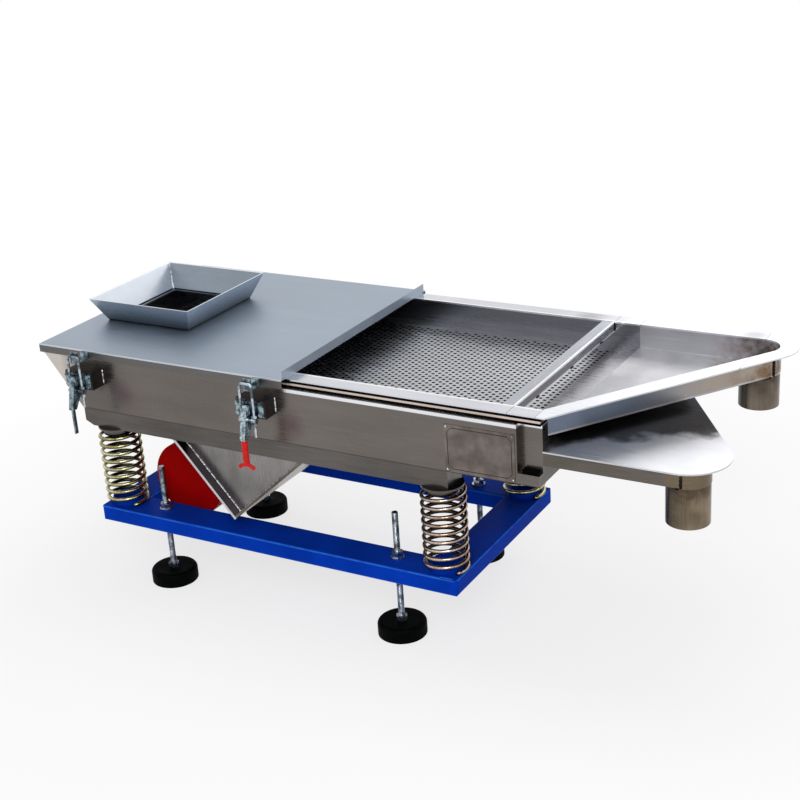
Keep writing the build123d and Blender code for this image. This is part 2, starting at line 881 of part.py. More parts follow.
# Sieve plate: square windows stand in for its fine holes, with the same open share
plate_length_x = taper_x - tray_x0
window_columns = int((plate_length_x - 2 * window_margin - window) // window_pitch) + 1
window_rows = int((2 * tray_half_width - 2 * window_margin - window) // window_pitch) + 1
with BuildPart() as sieve_plate:
    with BuildSketch(Plane.XY.offset(tray_bottom)):
        with Locations((tray_x0 + plate_length_x / 2, 0)):
            Rectangle(plate_length_x, 2 * tray_half_width)
            with GridLocations(window_pitch, window_pitch, window_columns, window_rows):
                Rectangle(window, window, mode=Mode.SUBTRACT)
    extrude(amount=plate_thickness)
save("sieve_plate", sieve_plate.part)

bar_x = end_x - bar_setback
bar_top = rim_top - bar_drop
with BuildPart() as cross_bar:
    with BuildSketch(upright(-1, tray_half_width)):
        with Locations((bar_x, bar_top - bar_height / 2)):
            Rectangle(bar_width, bar_height)
            Rectangle(bar_width - 2 * bar_wall, bar_height - 2 * bar_wall, mode=Mode.SUBTRACT)
    extrude(amount=-2 * tray_half_width)
save("cross_bar", cross_bar.part)

# Lid sheet with its upstand and three welded lips, the hopper on it and the keepers for the clamps
hopper_mouth = [side - 2 * hopper_wall for side in hopper_base]
with BuildPart() as lid:
    block((lid_x0, lid_x1), (-lid_half_width, lid_half_width), (lid_bottom, lid_top))
    block(
        (lid_x1 - lid_sheet, lid_x1),
        (-lid_half_width + upstand_inset, lid_half_width - upstand_inset),
        (lid_top, lid_top + upstand_height),
    )
    with Locations((hopper_x, 0, lid_top)):
        Box(*hopper_mouth, lid_top, mode=Mode.SUBTRACT)
lip_inner = lid_half_width - lid_sheet
lip_heights = (lid_bottom - lip_depth, lid_bottom)
lip_plans = (
    ((lid_x0, lid_x1), (-lid_half_width, -lip_inner)),
    ((lid_x0, lid_x1), (lip_inner, lid_half_width)),
    ((lid_x0, lid_x0 + lid_sheet), (-lip_inner, lip_inner)),
)
lips = []
for lip_x, lip_y in lip_plans:
    with BuildPart() as lip:
        block(lip_x, lip_y, lip_heights)
    lips.append(lip.part)
save("lid", lid.part, *lips)

with BuildPart() as hopper:
    for shrink, mode in ((0, Mode.ADD), (2 * hopper_wall, Mode.SUBTRACT)):
        for height, plan in ((lid_top, hopper_base), (lid_top + hopper_height, hopper_rim)):
            with BuildSketch(Plane.XY.offset(height)):
                with Locations((hopper_x, 0)):
                    Rectangle(plan[0] - shrink, plan[1] - shrink)
        loft(mode=mode)
save("hopper", hopper.part)


def clamp_plane(x, side):
    """Upright plane across the machine at a clamp: local x is out from the wall, local y is height."""
    return Plane(origin=(x, side * trough_half_width, 0), x_dir=(0, side, 0), z_dir=(side, 0, 0))


keeper_start = lid_half_width - trough_half_width
keeper_end = keeper_start + keeper_reach
keepers = []
for x, side in clamp_points.values():
    with BuildPart() as keeper:
        with BuildSketch(clamp_plane(x, side)):
            polygon(
                (keeper_start, keeper_bottom),
                (keeper_end, keeper_bottom),
                (keeper_end, keeper_tip),
                (keeper_end - keeper_sheet, keeper_tip),
                (keeper_end - keeper_sheet, keeper_bottom + keeper_sheet),
                (keeper_start + keeper_sheet, keeper_bottom + keeper_sheet),
                (keeper_start + keeper_sheet, keeper_plate_top),
                (keeper_start, keeper_plate_top),
            )
        extrude(amount=keeper_half_width, both=True)
    keepers.append(keeper.part)
save("keepers", *keepers)


# Lid clamps on the trough's walls


def outward(side, start, stop):
    """Limits across the machine, from distances outwards from a side wall."""
    return (side * (trough_half_width + start), side * (trough_half_width + stop))


brackets = []
clamp_fixtures = []
clamp_base_front = bracket_depth + clamp_base_thickness
clamp_base_middle = clamp_base_bottom + clamp_base_height / 2
for x, side in clamp_points.values():
    across = (x - bracket_width / 2, x + bracket_width / 2)
    with BuildPart() as bracket:
        bracket_top = bracket_bottom + bracket_height
        block(across, outward(side, 0, bracket_depth), (bracket_bottom, bracket_top))
        hollow = (across[0] + sheet, across[1] - sheet)
        depth = outward(side, 0, bracket_depth - sheet)
        block(hollow, depth, (bracket_bottom, bracket_top - sheet), Mode.SUBTRACT)
    brackets.append(bracket.part)

    with BuildPart() as clamp_base:
        block(
            (x - clamp_base_width / 2, x + clamp_base_width / 2),
            outward(side, bracket_depth, clamp_base_front),
            (clamp_base_bottom, clamp_base_bottom + clamp_base_height),
        )
        for hand in (-1, 1):
            block(
                (x + hand * ear_gap, x + hand * (ear_gap + ear_thickness)),
                outward(side, clamp_base_front, clamp_base_front + ear_reach),
                (clamp_pivot[1] - ear_height / 2, clamp_pivot[1] + ear_height / 2),
            )
        with BuildSketch(clamp_plane(x, side)):
            with Locations(clamp_pivot):
                Circle(clamp_pin_radius)
        extrude(amount=ear_gap + ear_thickness, both=True)
    clamp_fixtures.append(clamp_base.part)

    head_face = Plane(
        origin=(x, side * (trough_half_width + clamp_base_front), clamp_base_middle),
        x_dir=(1, 0, 0),
        z_dir=(0, side, 0),
    )
    with BuildPart() as heads:
        with BuildSketch(head_face):
            with GridLocations(2 * clamp_bolt[0], 2 * clamp_bolt[1], 2, 2):
                RegularPolygon(clamp_bolt_flats / 2, 6, major_radius=False)
        extrude(amount=clamp_bolt_height)
    clamp_fixtures.append(heads.part)
save("clamp_brackets", *brackets)
save("clamp_bases", *clamp_fixtures)


def clamp_lever(x, side):
    """Lever with holes for its pivot pin and the hook's trunnion."""
    with BuildPart() as lever:
        with BuildSketch(clamp_plane(x, side)):
            with Locations(clamp_pivot):
                Circle(lever_head_radius)
            with Locations(clamp_trunnion):
                Circle(lever_boss_radius)
            with Locations((lever_offset, lever_bottom + lever_half_width / 2)):
                Rectangle(lever_arm_width, lever_half_width)
            make_hull()
            with Locations(clamp_pivot):
                Circle(clamp_pin_radius + thread_clearance, mode=Mode.SUBTRACT)
            with Locations(clamp_trunnion):
                Circle(trunnion_radius + thread_clearance, mode=Mode.SUBTRACT)
        extrude(amount=lever_half_width, both=True)
    return lever.part


def forked_grip(x, side):
    """Round grip under the lever, with two short prongs at its end."""
    grip_y = side * (trough_half_width + lever_offset)
    fork_z = lever_bottom - grip_length + fork_radius
    with BuildPart() as grip:
        with BuildSketch(Plane.XY.offset(lever_bottom)):
            with Locations((x, grip_y)):
                Circle(grip_radius)
        extrude(amount=-grip_length)
        for lean in (-fork_angle, fork_angle):
            with Locations((x, grip_y, fork_z)):
                Cylinder(
                    fork_radius,
                    fork_length,
                    rotation=(0, lean, 0),
                    align=(Align.CENTER, Align.CENTER, Align.MIN),
                )
    return grip.part


def bare_handle(x, side):
    """Flat bar under a lever that has no grip."""
    bar_y = side * (trough_half_width + lever_offset)
    with BuildPart() as handle:
        with BuildSketch(Plane.XY.offset(lever_bottom)):
            with Locations((x, bar_y)):
                Rectangle(*bare_bar)
        extrude(amount=-grip_length)
    return handle.part


def clamp_hook(x, side):
    """U-bolt on a trunnion, with nuts above and below it on both legs."""
    hook_y = side * (trough_half_width + clamp_trunnion[0])
    trunnion_z = clamp_trunnion[1]
    with BuildPart() as hook:
        with BuildLine(Plane(origin=(x, hook_y, 0), x_dir=(1, 0, 0), z_dir=(0, -1, 0))) as bend:
            FilletPolyline(
                (-hook_half_width, hook_leg_bottom),
                (-hook_half_width, hook_bar_height),
                (hook_half_width, hook_bar_height),
                (hook_half_width, hook_leg_bottom),
                radius=hook_bend,
            )
        with BuildSketch(Plane(origin=bend.line @ 0, z_dir=bend.line % 0)):
            Circle(hook_radius)
        sweep()
        with BuildSketch(clamp_plane(x, side)):
            with Locations(clamp_trunnion):
                Circle(trunnion_radius)
        extrude(amount=trunnion_boss_start, both=True)
        for hand in (-1, 1):
            with BuildSketch(clamp_plane(x + hand * trunnion_boss_start, side)):
                with Locations(clamp_trunnion):
                    Circle(trunnion_boss_radius)
            extrude(amount=hand * side * (trunnion_half_length - trunnion_boss_start))
        nut_levels = (
            trunnion_z + trunnion_boss_radius,
            trunnion_z - trunnion_boss_radius - hook_nut_height,
        )
        for level in nut_levels:
            with BuildSketch(Plane.XY.offset(level)):
                with Locations((x - hook_half_width, hook_y), (x + hook_half_width, hook_y)):
                    RegularPolygon(hook_nut_flats / 2, 6, major_radius=False)
            extrude(amount=hook_nut_height)
    return hook.part


for corner, (x, side) in clamp_points.items():
    handle = bare_handle(x, side) if corner == "fl" else forked_grip(x, side)
    save(f"clamp_lever_{corner}", clamp_lever(x, side), handle)
    save(f"clamp_hook_{corner}", clamp_hook(x, side))

# Blank nameplate on the front wall, with a rivet at each corner
plate_x = trough_x1 - nameplate_end_gap - nameplate_size[0] / 2
plate_z = wall_bottom + nameplate_lift + nameplate_size[1] / 2
with BuildPart() as nameplate:
    face = Plane(origin=(plate_x, -trough_half_width, plate_z), x_dir=(1, 0, 0), z_dir=(0, -1, 0))
    with BuildSketch(face):
        Rectangle(*nameplate_size)
    extrude(amount=nameplate_thickness)
    with BuildSketch(face):
        with GridLocations(nameplate_size[0] - 2 * rivet_inset, nameplate_size[1] - 2 * rivet_inset, 2, 2):
            Circle(rivet_radius)
    extrude(amount=rivet_height)
save("nameplate", nameplate.part)
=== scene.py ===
import math

import bpy
import numpy as np
from mathutils import Matrix, Vector


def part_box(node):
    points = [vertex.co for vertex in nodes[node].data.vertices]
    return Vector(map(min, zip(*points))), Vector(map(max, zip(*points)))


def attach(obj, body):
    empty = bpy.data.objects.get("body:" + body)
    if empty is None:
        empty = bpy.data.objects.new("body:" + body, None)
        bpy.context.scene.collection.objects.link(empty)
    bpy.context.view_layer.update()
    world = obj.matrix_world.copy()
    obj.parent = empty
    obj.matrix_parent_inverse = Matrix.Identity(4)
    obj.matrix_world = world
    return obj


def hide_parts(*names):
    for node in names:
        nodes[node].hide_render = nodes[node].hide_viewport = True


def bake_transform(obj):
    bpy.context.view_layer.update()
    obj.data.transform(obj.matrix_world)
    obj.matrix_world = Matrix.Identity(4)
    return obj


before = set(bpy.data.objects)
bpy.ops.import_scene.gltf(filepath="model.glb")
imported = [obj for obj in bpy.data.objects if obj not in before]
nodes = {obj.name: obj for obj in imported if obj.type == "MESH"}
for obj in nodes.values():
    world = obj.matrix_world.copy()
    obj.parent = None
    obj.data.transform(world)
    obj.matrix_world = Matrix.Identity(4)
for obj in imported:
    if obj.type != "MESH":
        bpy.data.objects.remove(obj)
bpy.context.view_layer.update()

# Camera, fitted to the photograph. Places are in metres and angles in degrees.
CAMERA_PLACE = (1.4565, -2.5077, 1.6219)
CAMERA_AZIMUTH = 30.725
CAMERA_ELEVATION = 22.047
CAMERA_ROLL = 3.796
CAMERA_LENS_MM = 67.14
SENSOR_MM = 36.0

# Coils, threads and holes
WIRE_RADIUS = 0.0041
COIL_TURNS = 9.6
COIL_START = math.radians(-35)
COIL_STEPS_PER_TURN = 28
COIL_SIDES = 14
STUD_RADIUS = 0.007
THREAD_PITCH = 0.002
THREAD_DEPTH = 0.0011
THREAD_SIDES = 20
THREAD_STEPS = 4
COLLAR_HEIGHT = 0.009
COLLAR_FLATS = 0.022
COLLAR_SIDES = 6
HOLE_PITCH = 0.0141
HOLE_ROW_PITCH = 0.0117
HOLE_RADIUS = 0.0039
HOLE_SIDES = 8
HOLES_IN_ROW = 29
HOLE_ROWS = 87
HOLES_END_X = 0.360

# Faces and edges that the frame's boxes don't give
GRIP_TOP = 0.470
RIM_BOTTOM = 0.5762
WALL_FRONT = -0.289
WALL_FOOT = 0.445
BAR_FACE = 0.3525
GUSSET_FRONT = -0.191
GUSSET_CORNERS = ((-0.3379, 0.2090), (-0.4744, 0.3660), (-0.1573, 0.3660))
BRACKET_EDGES = (-0.6555, -0.5855, -0.2185, -0.1485)
BRACKET_HEIGHTS = (0.510, 0.541)
OUTER_CHUTE_SIDE = (0.84, -0.54, 0.0)
# Direction of the hopper side that gets painted light
HOPPER_LIT_SIDE = (0.9, 0, 0.436)

# Fades in the looks, each from its start to its end along an axis
WALL_SEAM_Z = (WALL_FOOT, WALL_FOOT + 0.0022)
# Painted highlight along the top edge of the front wall
WALL_HIGHLIGHT_Z = (0.5545, 0.5555)
WALL_HIGHLIGHT_X = (-0.13, -0.12)
# Painted pale reflection at the feed end of the front wall
FEED_END_REFLECTION_X = (-0.700, -0.640)
# Walls under the rim get painted shade from here down
UNDER_RIM_Z = (RIM_BOTTOM - 0.0006, RIM_BOTTOM)
# Painted highlight along the rim's inner edge
RIM_HIGHLIGHT_Y = (0.2480, 0.2500)
# Fade of the painted reflection along the chute's outer side
CHUTE_SIDE_Y = (-0.10, 0.06)
CHUTE_FLOOR_Z = (0.5305, 0.5311)
SCREEN_END_X = (HOLES_END_X - 0.002, HOLES_END_X)
# Painted highlight along the lid's fold, and painted shade on its lips
LID_HIGHLIGHT_Y = (0.2938, 0.2948)
LID_LIP_Z = (0.5786, 0.5794)
HOPPER_SHADE_Z = (0.585, 0.632)
# Painted highlight on the hopper's top edge
HOPPER_HIGHLIGHT_Z = (0.6352, 0.6358)
# Painted shadow along the hopper's foot
HOPPER_SHADOW_Z = (0.5838, 0.5852)
# Painted shade on the cross bar's sides, and painted highlights along its top edge and foot
BAR_SIDE_SHADE_Z = (0.5772, 0.5778)
BAR_HIGHLIGHT_Z = (0.5745, 0.5755)
BAR_HIGHLIGHT_X = (0.3480, 0.3490)
BAR_FOOT_HIGHLIGHT_Z = (0.5600, 0.5608)

# Seams, stains, marks and painted shade and reflections in the looks
SEAM_HALF_WIDTH = 0.0008
FRAME_SEAM_X = 0.353
CHUTE_SEAMS_X = (0.4095, 0.672)
FRAME_STAIN = (0.292, 0.255, 0.5795)
CHUTE_STAIN = (0.645, 0.262, 0.5795)
WALL_MARKS = ((-0.5395, WALL_FRONT, 0.494), (-0.1128, WALL_FRONT, 0.487))
COVER_MARKS = ((0.643, -0.067, 0.511), (0.6845, -0.066, 0.511), (0.600, -0.090, 0.511))
# Edge of the painted shade and reflection from the upper chute on the lower cover
CHUTE_REFLECTION_START = (0.480, -0.195)
CHUTE_REFLECTION_SLOPE = 0.55
UPPER_HEAT_Z = 0.550
UPPER_HEAT_REACH = (0.045, 0.125)
LOWER_HEAT_Z = 0.495
LOWER_HEAT_REACH = (0.047, 0.054)
BORDER_INSET = 0.0065
BORDER_CUT = 0.0085
BORDER_WIDTH = 0.0009

# Weld beads and rivets
BEAD_SIDES = 8
BEAD_STEPS = 4
BEAD_DIP = 0.28
BEAD_TAPER = 0.4
WELD_RADIUS = 0.0032
BRACKET_WELD_RADIUS = 0.0024
BRACKET_RIPPLE = 2.6
BUTT_RIPPLE = 2.2
PIPE_WELD_DROP = 0.001
LOWER_WELD_ANGLES = (-95, -210)
UPPER_WELD_ANGLES = (-40, -200)
LOWER_BUTT_Y = -0.2722
LOWER_BUTT_HEIGHTS = (0.482, 0.506)
UPPER_BUTT_GAP = 0.002
WALL_STEP = 0.0015
TACKS_Y = (-0.143, 0.019, 0.170)
TACK_HEIGHT = 0.5585
TACK_HALF_LENGTH = 0.006
TACK_RADIUS = 0.002
BAR_ENDS_Y = (-0.2435, 0.2435)
BAR_END_HEIGHTS = (0.559, 0.577)
BAR_END_WELD_RADIUS = 0.0028
BASE_RUN = ((0.169, -0.2322, 0.1785), (0.198, -0.2322, 0.1785))
BASE_WELD_RADIUS = 0.003
HOPPER_SEAM_FOOT = (0.1065, 0.114, 0.5825)
HOPPER_SEAM_TOP = (0.1325, 0.1425, 0.6355)
HOPPER_SEAM_RADIUS = 0.0016
HOPPER_RIPPLE = 1.6
RIVET_INSET = 0.0045
RIVET_RADIUS = 0.0022
RIVET_HEIGHT = 0.0012
RIVET_ROOT = 0.0005
RIVET_SIDES = 12

# The two outlet pipes
UPPER_SPOUT_LOW, UPPER_SPOUT_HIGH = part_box("upper_spout")
LOWER_SPOUT_LOW, LOWER_SPOUT_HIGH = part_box("lower_spout")
UPPER_SPOUT_MIDDLE = (UPPER_SPOUT_LOW + UPPER_SPOUT_HIGH) / 2
LOWER_SPOUT_MIDDLE = (LOWER_SPOUT_LOW + LOWER_SPOUT_HIGH) / 2
PIPE_RADIUS = (LOWER_SPOUT_HIGH.x - LOWER_SPOUT_LOW.x) / 2
UPPER_HEAT = (UPPER_SPOUT_MIDDLE.x, UPPER_SPOUT_MIDDLE.y, UPPER_HEAT_Z)
LOWER_HEAT = (LOWER_SPOUT_MIDDLE.x, LOWER_SPOUT_MIDDLE.y, LOWER_HEAT_Z)

CORNERS = ("fl", "fr", "rl", "rr")
CLAMPS = ("fl", "fr")


def srgb(red, green, blue):
    """Linear colour from screen values between 0 and 255."""
    shares = (red / 255, green / 255, blue / 255)
    return tuple(c / 12.92 if c < 0.04 else ((c + 0.055) / 1.055) ** 2.4 for c in shares)


def scaled(colour, factor):
    return tuple(min(1.0, c * factor) for c in colour)


SEAM_GREY = srgb(110, 108, 104)
STAIN_GREY = srgb(140, 142, 148)


class Look:
    """One procedural material, built a node at a time around a Principled shader."""

    def __init__(self, name, roughness, metallic=0.0):
        self.material = bpy.data.materials.new(name)
        self.material.use_nodes = True
        self.tree = self.material.node_tree
        self.shader = self.tree.nodes["Principled BSDF"]
        self.shader.inputs["Roughness"].default_value = roughness
        self.shader.inputs["Metallic"].default_value = metallic
        place = self.add("ShaderNodeTexCoord")
        self.position = place.outputs["Object"]
        self.normal = place.outputs["Normal"]

    def add(self, kind, **settings):
        node = self.tree.nodes.new(kind)
        for key, value in settings.items():
            setattr(node, key, value)
        return node

    def feed(self, socket, value):
        """Give a socket a plain value, or link it to another node's output."""
        if isinstance(value, bpy.types.NodeSocket):
            self.tree.links.new(value, socket)
        else:
            socket.default_value = value

    def noise(self, size, detail=3.0, stretch=(1, 1, 1)):
        """Noise with blotches about this size in metres, drawn out where stretch is below 1."""
        mapping = self.add("ShaderNodeMapping")
        mapping.inputs["Scale"].default_value = stretch
        self.feed(mapping.inputs["Vector"], self.position)
        texture = self.add("ShaderNodeTexNoise")
        texture.inputs["Scale"].default_value = 1.0 / size
        texture.inputs["Detail"].default_value = detail
        self.feed(texture.inputs["Vector"], mapping.outputs["Vector"])
        return texture.outputs["Fac"]

    def remap(self, source, low, high, to_low=0.0, to_high=1.0):
        node = self.add("ShaderNodeMapRange")
        self.feed(node.inputs["Value"], source)
        node.inputs["From Min"].default_value = low
        node.inputs["From Max"].default_value = high
        node.inputs["To Min"].default_value = to_low
        node.inputs["To Max"].default_value = to_high
        return node.outputs["Result"]

    def math(self, operation, a, b=0.0):
        node = self.add("ShaderNodeMath", operation=operation)
        self.feed(node.inputs[0], a)
        self.feed(node.inputs[1], b)
        return node.outputs["Value"]

    def times(self, *factors):
        product = factors[0]
        for factor in factors[1:]:
            product = self.math("MULTIPLY", product, factor)
        return product

    def mix(self, factor, a, b, blend="MIX"):
        node = self.add("ShaderNodeMix", data_type="RGBA", blend_type=blend)
        for socket, value in ((node.inputs[0], factor), (node.inputs[6], a), (node.inputs[7], b)):
            self.feed(socket, (*value, 1.0) if isinstance(value, tuple) else value)
        return node.outputs[2]

    def along(self, axis):
        """The place along X, Y or Z, in metres."""
        node = self.add("ShaderNodeSeparateXYZ")
        self.feed(node.inputs[0], self.position)
        return node.outputs[axis]

    def facing(self, direction):
        """How far a surface faces a direction: 1 straight at it, -1 straight away."""
        node = self.add("ShaderNodeVectorMath", operation="DOT_PRODUCT")
        self.feed(node.inputs[0], self.normal)
        node.inputs[1].default_value = direction
        return node.outputs["Value"]

    def near(self, place, inner, outer):
        """1 within inner metres of a place, fading to 0 at outer metres."""
        node = self.add("ShaderNodeVectorMath", operation="DISTANCE")
        self.feed(node.inputs[0], self.position)
        node.inputs[1].default_value = place
        return self.remap(node.outputs["Value"], inner, outer, 1.0, 0.0)

    def line(self, axis, place, half_width):
        """1 on a thin line across an axis, 0 elsewhere."""
        offset = self.math("ABSOLUTE", self.math("SUBTRACT", self.along(axis), place))
        return self.remap(offset, half_width * 0.6, half_width * 1.4, 1.0, 0.0)

    def bump(self, height, distance, strength=1.0):
        node = self.add("ShaderNodeBump")
        node.inputs["Strength"].default_value = strength
        node.inputs["Distance"].default_value = distance
        self.feed(node.inputs["Height"], height)
        self.feed(self.shader.inputs["Normal"], node.outputs["Normal"])

    def colour(self, value):
        self.feed(self.shader.inputs["Base Color"], value)

    def roughness(self, value):
        self.feed(self.shader.inputs["Roughness"], value)

    def sheen(self, level):
        """How strongly a coat that isn't bare metal mirrors its surroundings."""
        self.shader.inputs["Specular IOR Level"].default_value = level


def steel(
    name, colour, roughness=0.26, grain=(0.03, 1, 1), streak=0.25, contrast=0.12, blotch=0.2, tint=None
):
    """Sheet steel with fine grain along one axis, wipe marks, cloudy patches and faint scratches."""
    look = Look(name, roughness, metallic=1.0)
    fine = look.noise(0.0018, 4.0, grain)
    wipes = look.noise(0.035, 5.0, tuple(g ** 0.5 for g in grain))
    clouds = look.noise(blotch, 4.0)
    base = look.mix(
        look.remap(clouds, 0.35, 0.65), scaled(colour, 1 - contrast), scaled(colour, 1 + contrast)
    )
    if tint:
        base = tint(look, base)
    base = look.mix(1.0, base, look.remap(wipes, 0.3, 0.7, 1 - contrast, 1.0), "MULTIPLY")
    base = look.mix(1.0, base, look.remap(fine, 0.3, 0.7, 1 - streak, 1.0), "MULTIPLY")
    scratches = look.remap(look.noise(0.005, 2.0, grain), 0.66, 0.74, 0.0, 0.1)
    look.colour(look.mix(scratches, base, scaled(colour, 1.6)))
    look.roughness(look.remap(fine, 0.3, 0.7, roughness - 0.06, roughness + 0.08))
    look.bump(fine, 0.0001, 0.4)
    return look.material


def paint(name, colour, edge, roughness=0.34):
    """Gloss paint with orange peel, faint dust, and a painted highlight: a paler line along rounded edges.
    """
    look = Look(name, roughness)
    peel = look.noise(0.0035, 2.0)
    dust = look.noise(0.09, 6.0)
    base = look.mix(look.remap(dust, 0.35, 0.75), scaled(colour, 0.85), scaled(colour, 1.2))
    upward = look.math("ABSOLUTE", look.facing((0, 0, 1)))
    rounding = look.times(look.remap(upward, 0.25, 0.6), look.remap(upward, 0.75, 0.97, 1.0, 0.0))
    # Painted highlight: rounded edges that face partly upward get the paler edge colour, broken up by noise.
    painted_edge_highlight = look.times(rounding, look.remap(look.noise(0.02, 4.0), 0.3, 0.6, 0.45, 1.0))
    look.colour(look.mix(painted_edge_highlight, base, edge))
    look.roughness(look.remap(dust, 0.3, 0.7, roughness - 0.06, roughness + 0.12))
    look.bump(peel, 0.0002, 0.35)
    look.sheen(0.012)
    return look.material


def rubber(name):
    """Black rubber with a grainy skin and faint scuffs."""
    look = Look(name, 0.55)
    grain = look.noise(0.0012, 3.0)
    scuffs = look.noise(0.03, 6.0)
    look.colour(look.mix(look.remap(scuffs, 0.5, 0.8, 0.0, 0.6), srgb(3, 4, 4), srgb(17, 18, 19)))
    look.roughness(look.remap(scuffs, 0.3, 0.7, 0.45, 0.7))
    look.bump(grain, 0.0002, 0.5)
    look.sheen(0.02)
    return look.material


def plated(name, colour, dark, roughness=0.24, patch=0.012):
    """Zinc plating: small cloudy crystals, dark patches and an uneven sheen."""
    look = Look(name, roughness, metallic=1.0)
    spangle = look.noise(0.004, 3.0)
    patches = look.noise(patch, 4.0)
    base = look.mix(look.remap(spangle, 0.35, 0.65), scaled(colour, 0.8), scaled(colour, 1.25))
    look.colour(look.mix(look.remap(patches, 0.45, 0.62), base, dark))
    look.roughness(look.remap(patches, 0.3, 0.7, roughness - 0.06, roughness + 0.14))
    look.bump(spangle, 0.0001, 0.4)
    return look.material


def coil_plating(corner, light, tone, shade):
    """Passivated wire: hue drifts along it, and painted shade makes it darker underneath and inside the
    coil.
    """
    look = Look(f"wire_{corner}", 0.2, metallic=1.0)
    low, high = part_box(f"spring_{corner}")
    middle = (low + high) / 2
    coil_radius = (high.x - low.x) / 2 - WIRE_RADIUS
    out_x = look.math("SUBTRACT", look.along("X"), middle.x)
    out_y = look.math("SUBTRACT", look.along("Y"), middle.y)
    reach = look.math("SQRT", look.math("ADD", look.times(out_x, out_x), look.times(out_y, out_y)))
    # Painted shade on the inner side of the coil.
    inside = look.remap(reach, coil_radius - 0.001, coil_radius + 0.001, 0.9, 0.0)
    drift = look.noise(0.03, 3.0)
    spangle = look.noise(0.003, 3.0)
    base = look.mix(look.remap(drift, 0.35, 0.65), light, tone)
    base = look.mix(look.remap(spangle, 0.35, 0.7, 0.0, 0.6), base, shade)
    slope = look.facing((0, 0, 1))
    # Painted shade on the underside of the wire.
    base = look.mix(look.remap(slope, 0.35, -0.35), base, shade)
    look.colour(look.mix(inside, base, shade))
    look.roughness(look.remap(spangle, 0.3, 0.7, 0.14, 0.3))
    look.bump(spangle, 0.00008, 0.4)
    return look.material


def lever_look(name):
    """Zinc-plated lever above, red moulded grip below."""
    look = Look(name, 0.3)
    spangle = look.noise(0.005, 3.0)
    red_part = look.math("LESS_THAN", look.along("Z"), GRIP_TOP - 0.0002)
    metal = look.mix(look.remap(spangle, 0.4, 0.6), srgb(105, 125, 135), srgb(190, 205, 212))
    plastic = look.mix(look.remap(spangle, 0.4, 0.7), srgb(186, 14, 12), srgb(214, 34, 28))
    look.colour(look.mix(red_part, metal, plastic))
    look.feed(look.shader.inputs["Metallic"], look.math("SUBTRACT", 1.0, red_part))
    look.roughness(look.remap(red_part, 0.0, 1.0, 0.26, 0.4))
    look.bump(spangle, 0.0001, 0.3)
    look.sheen(0.2)
    return look.material


def nameplate_look(name):
    """Blank plate: dull metal with a dark border line, cut at the corners."""
    look = Look(name, 0.34, metallic=1.0)
    low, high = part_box("nameplate")
    middle = (low + high) / 2
    side = (high.x - low.x) / 2 - BORDER_INSET
    top = (high.z - low.z) / 2 - BORDER_INSET
    out_x = look.math("ABSOLUTE", look.math("SUBTRACT", look.along("X"), middle.x))
    out_z = look.math("ABSOLUTE", look.math("SUBTRACT", look.along("Z"), middle.z))
    past_side = look.math("SUBTRACT", out_x, side)
    past_top = look.math("SUBTRACT", out_z, top)
    past_corner = look.math("SUBTRACT", look.math("ADD", out_x, out_z), side + top - BORDER_CUT)
    past = look.math("MAXIMUM", look.math("MAXIMUM", past_side, past_top), past_corner)
    border = look.remap(look.math("ABSOLUTE", past), BORDER_WIDTH * 0.5, BORDER_WIDTH, 1.0, 0.0)
    clouds = look.noise(0.03, 4.0)
    base = look.mix(look.remap(clouds, 0.35, 0.65), srgb(98, 90, 87), srgb(124, 115, 110))
    look.colour(look.mix(border, base, srgb(30, 28, 27)))
    look.roughness(look.remap(clouds, 0.3, 0.7, 0.3, 0.42))
    look.bump(border, 0.0002, 0.5)
    return look.material


def wall_tint(look, base):
    """Painted pale reflection at the feed end, painted highlight along the top edge, dark lower seam and two
    purplish marks that welding left.
    """
    height = look.along("Z")
    length = look.along("X")
    base = look.mix(look.remap(height, *WALL_SEAM_Z, 0.85, 0.0), base, srgb(30, 28, 27))
    # Painted reflection: the feed end is paler.
    base = look.mix(look.remap(length, *FEED_END_REFLECTION_X, 0.9, 0.0), base, srgb(214, 207, 200))
    for place in WALL_MARKS:
        mark = look.times(look.near(place, 0.006, 0.036), 0.5)
        base = look.mix(mark, base, srgb(86, 60, 76))
    # Painted highlight along the top edge, right of the lid.
    top_edge_highlight = look.times(look.remap(height, *WALL_HIGHLIGHT_Z), look.remap(length, *WALL_HIGHLIGHT_X))
    return look.mix(top_edge_highlight, base, srgb(240, 241, 245))


def frame_tint(look, base):
    """Bright rim with a painted highlight whitening its inner edge, a stain and a seam, over tray walls
    darkened by painted shade.
    """
    sideways = look.math("ABSOLUTE", look.along("Y"))
    # Painted highlight along the inner edge of the rim.
    base = look.mix(look.remap(sideways, *RIM_HIGHLIGHT_Y, 1.0, 0.0), base, srgb(252, 252, 254))
    stain = look.times(look.near(FRAME_STAIN, 0.01, 0.04), 0.5)
    base = look.mix(stain, base, STAIN_GREY)
    seam = look.times(look.line("X", FRAME_SEAM_X, SEAM_HALF_WIDTH), 0.6)
    base = look.mix(seam, base, SEAM_GREY)
    # Painted shade on the walls under the rim.
    below = look.remap(look.along("Z"), *UNDER_RIM_Z, 1.0, 0.0)
    return look.mix(below, base, srgb(142, 143, 149))


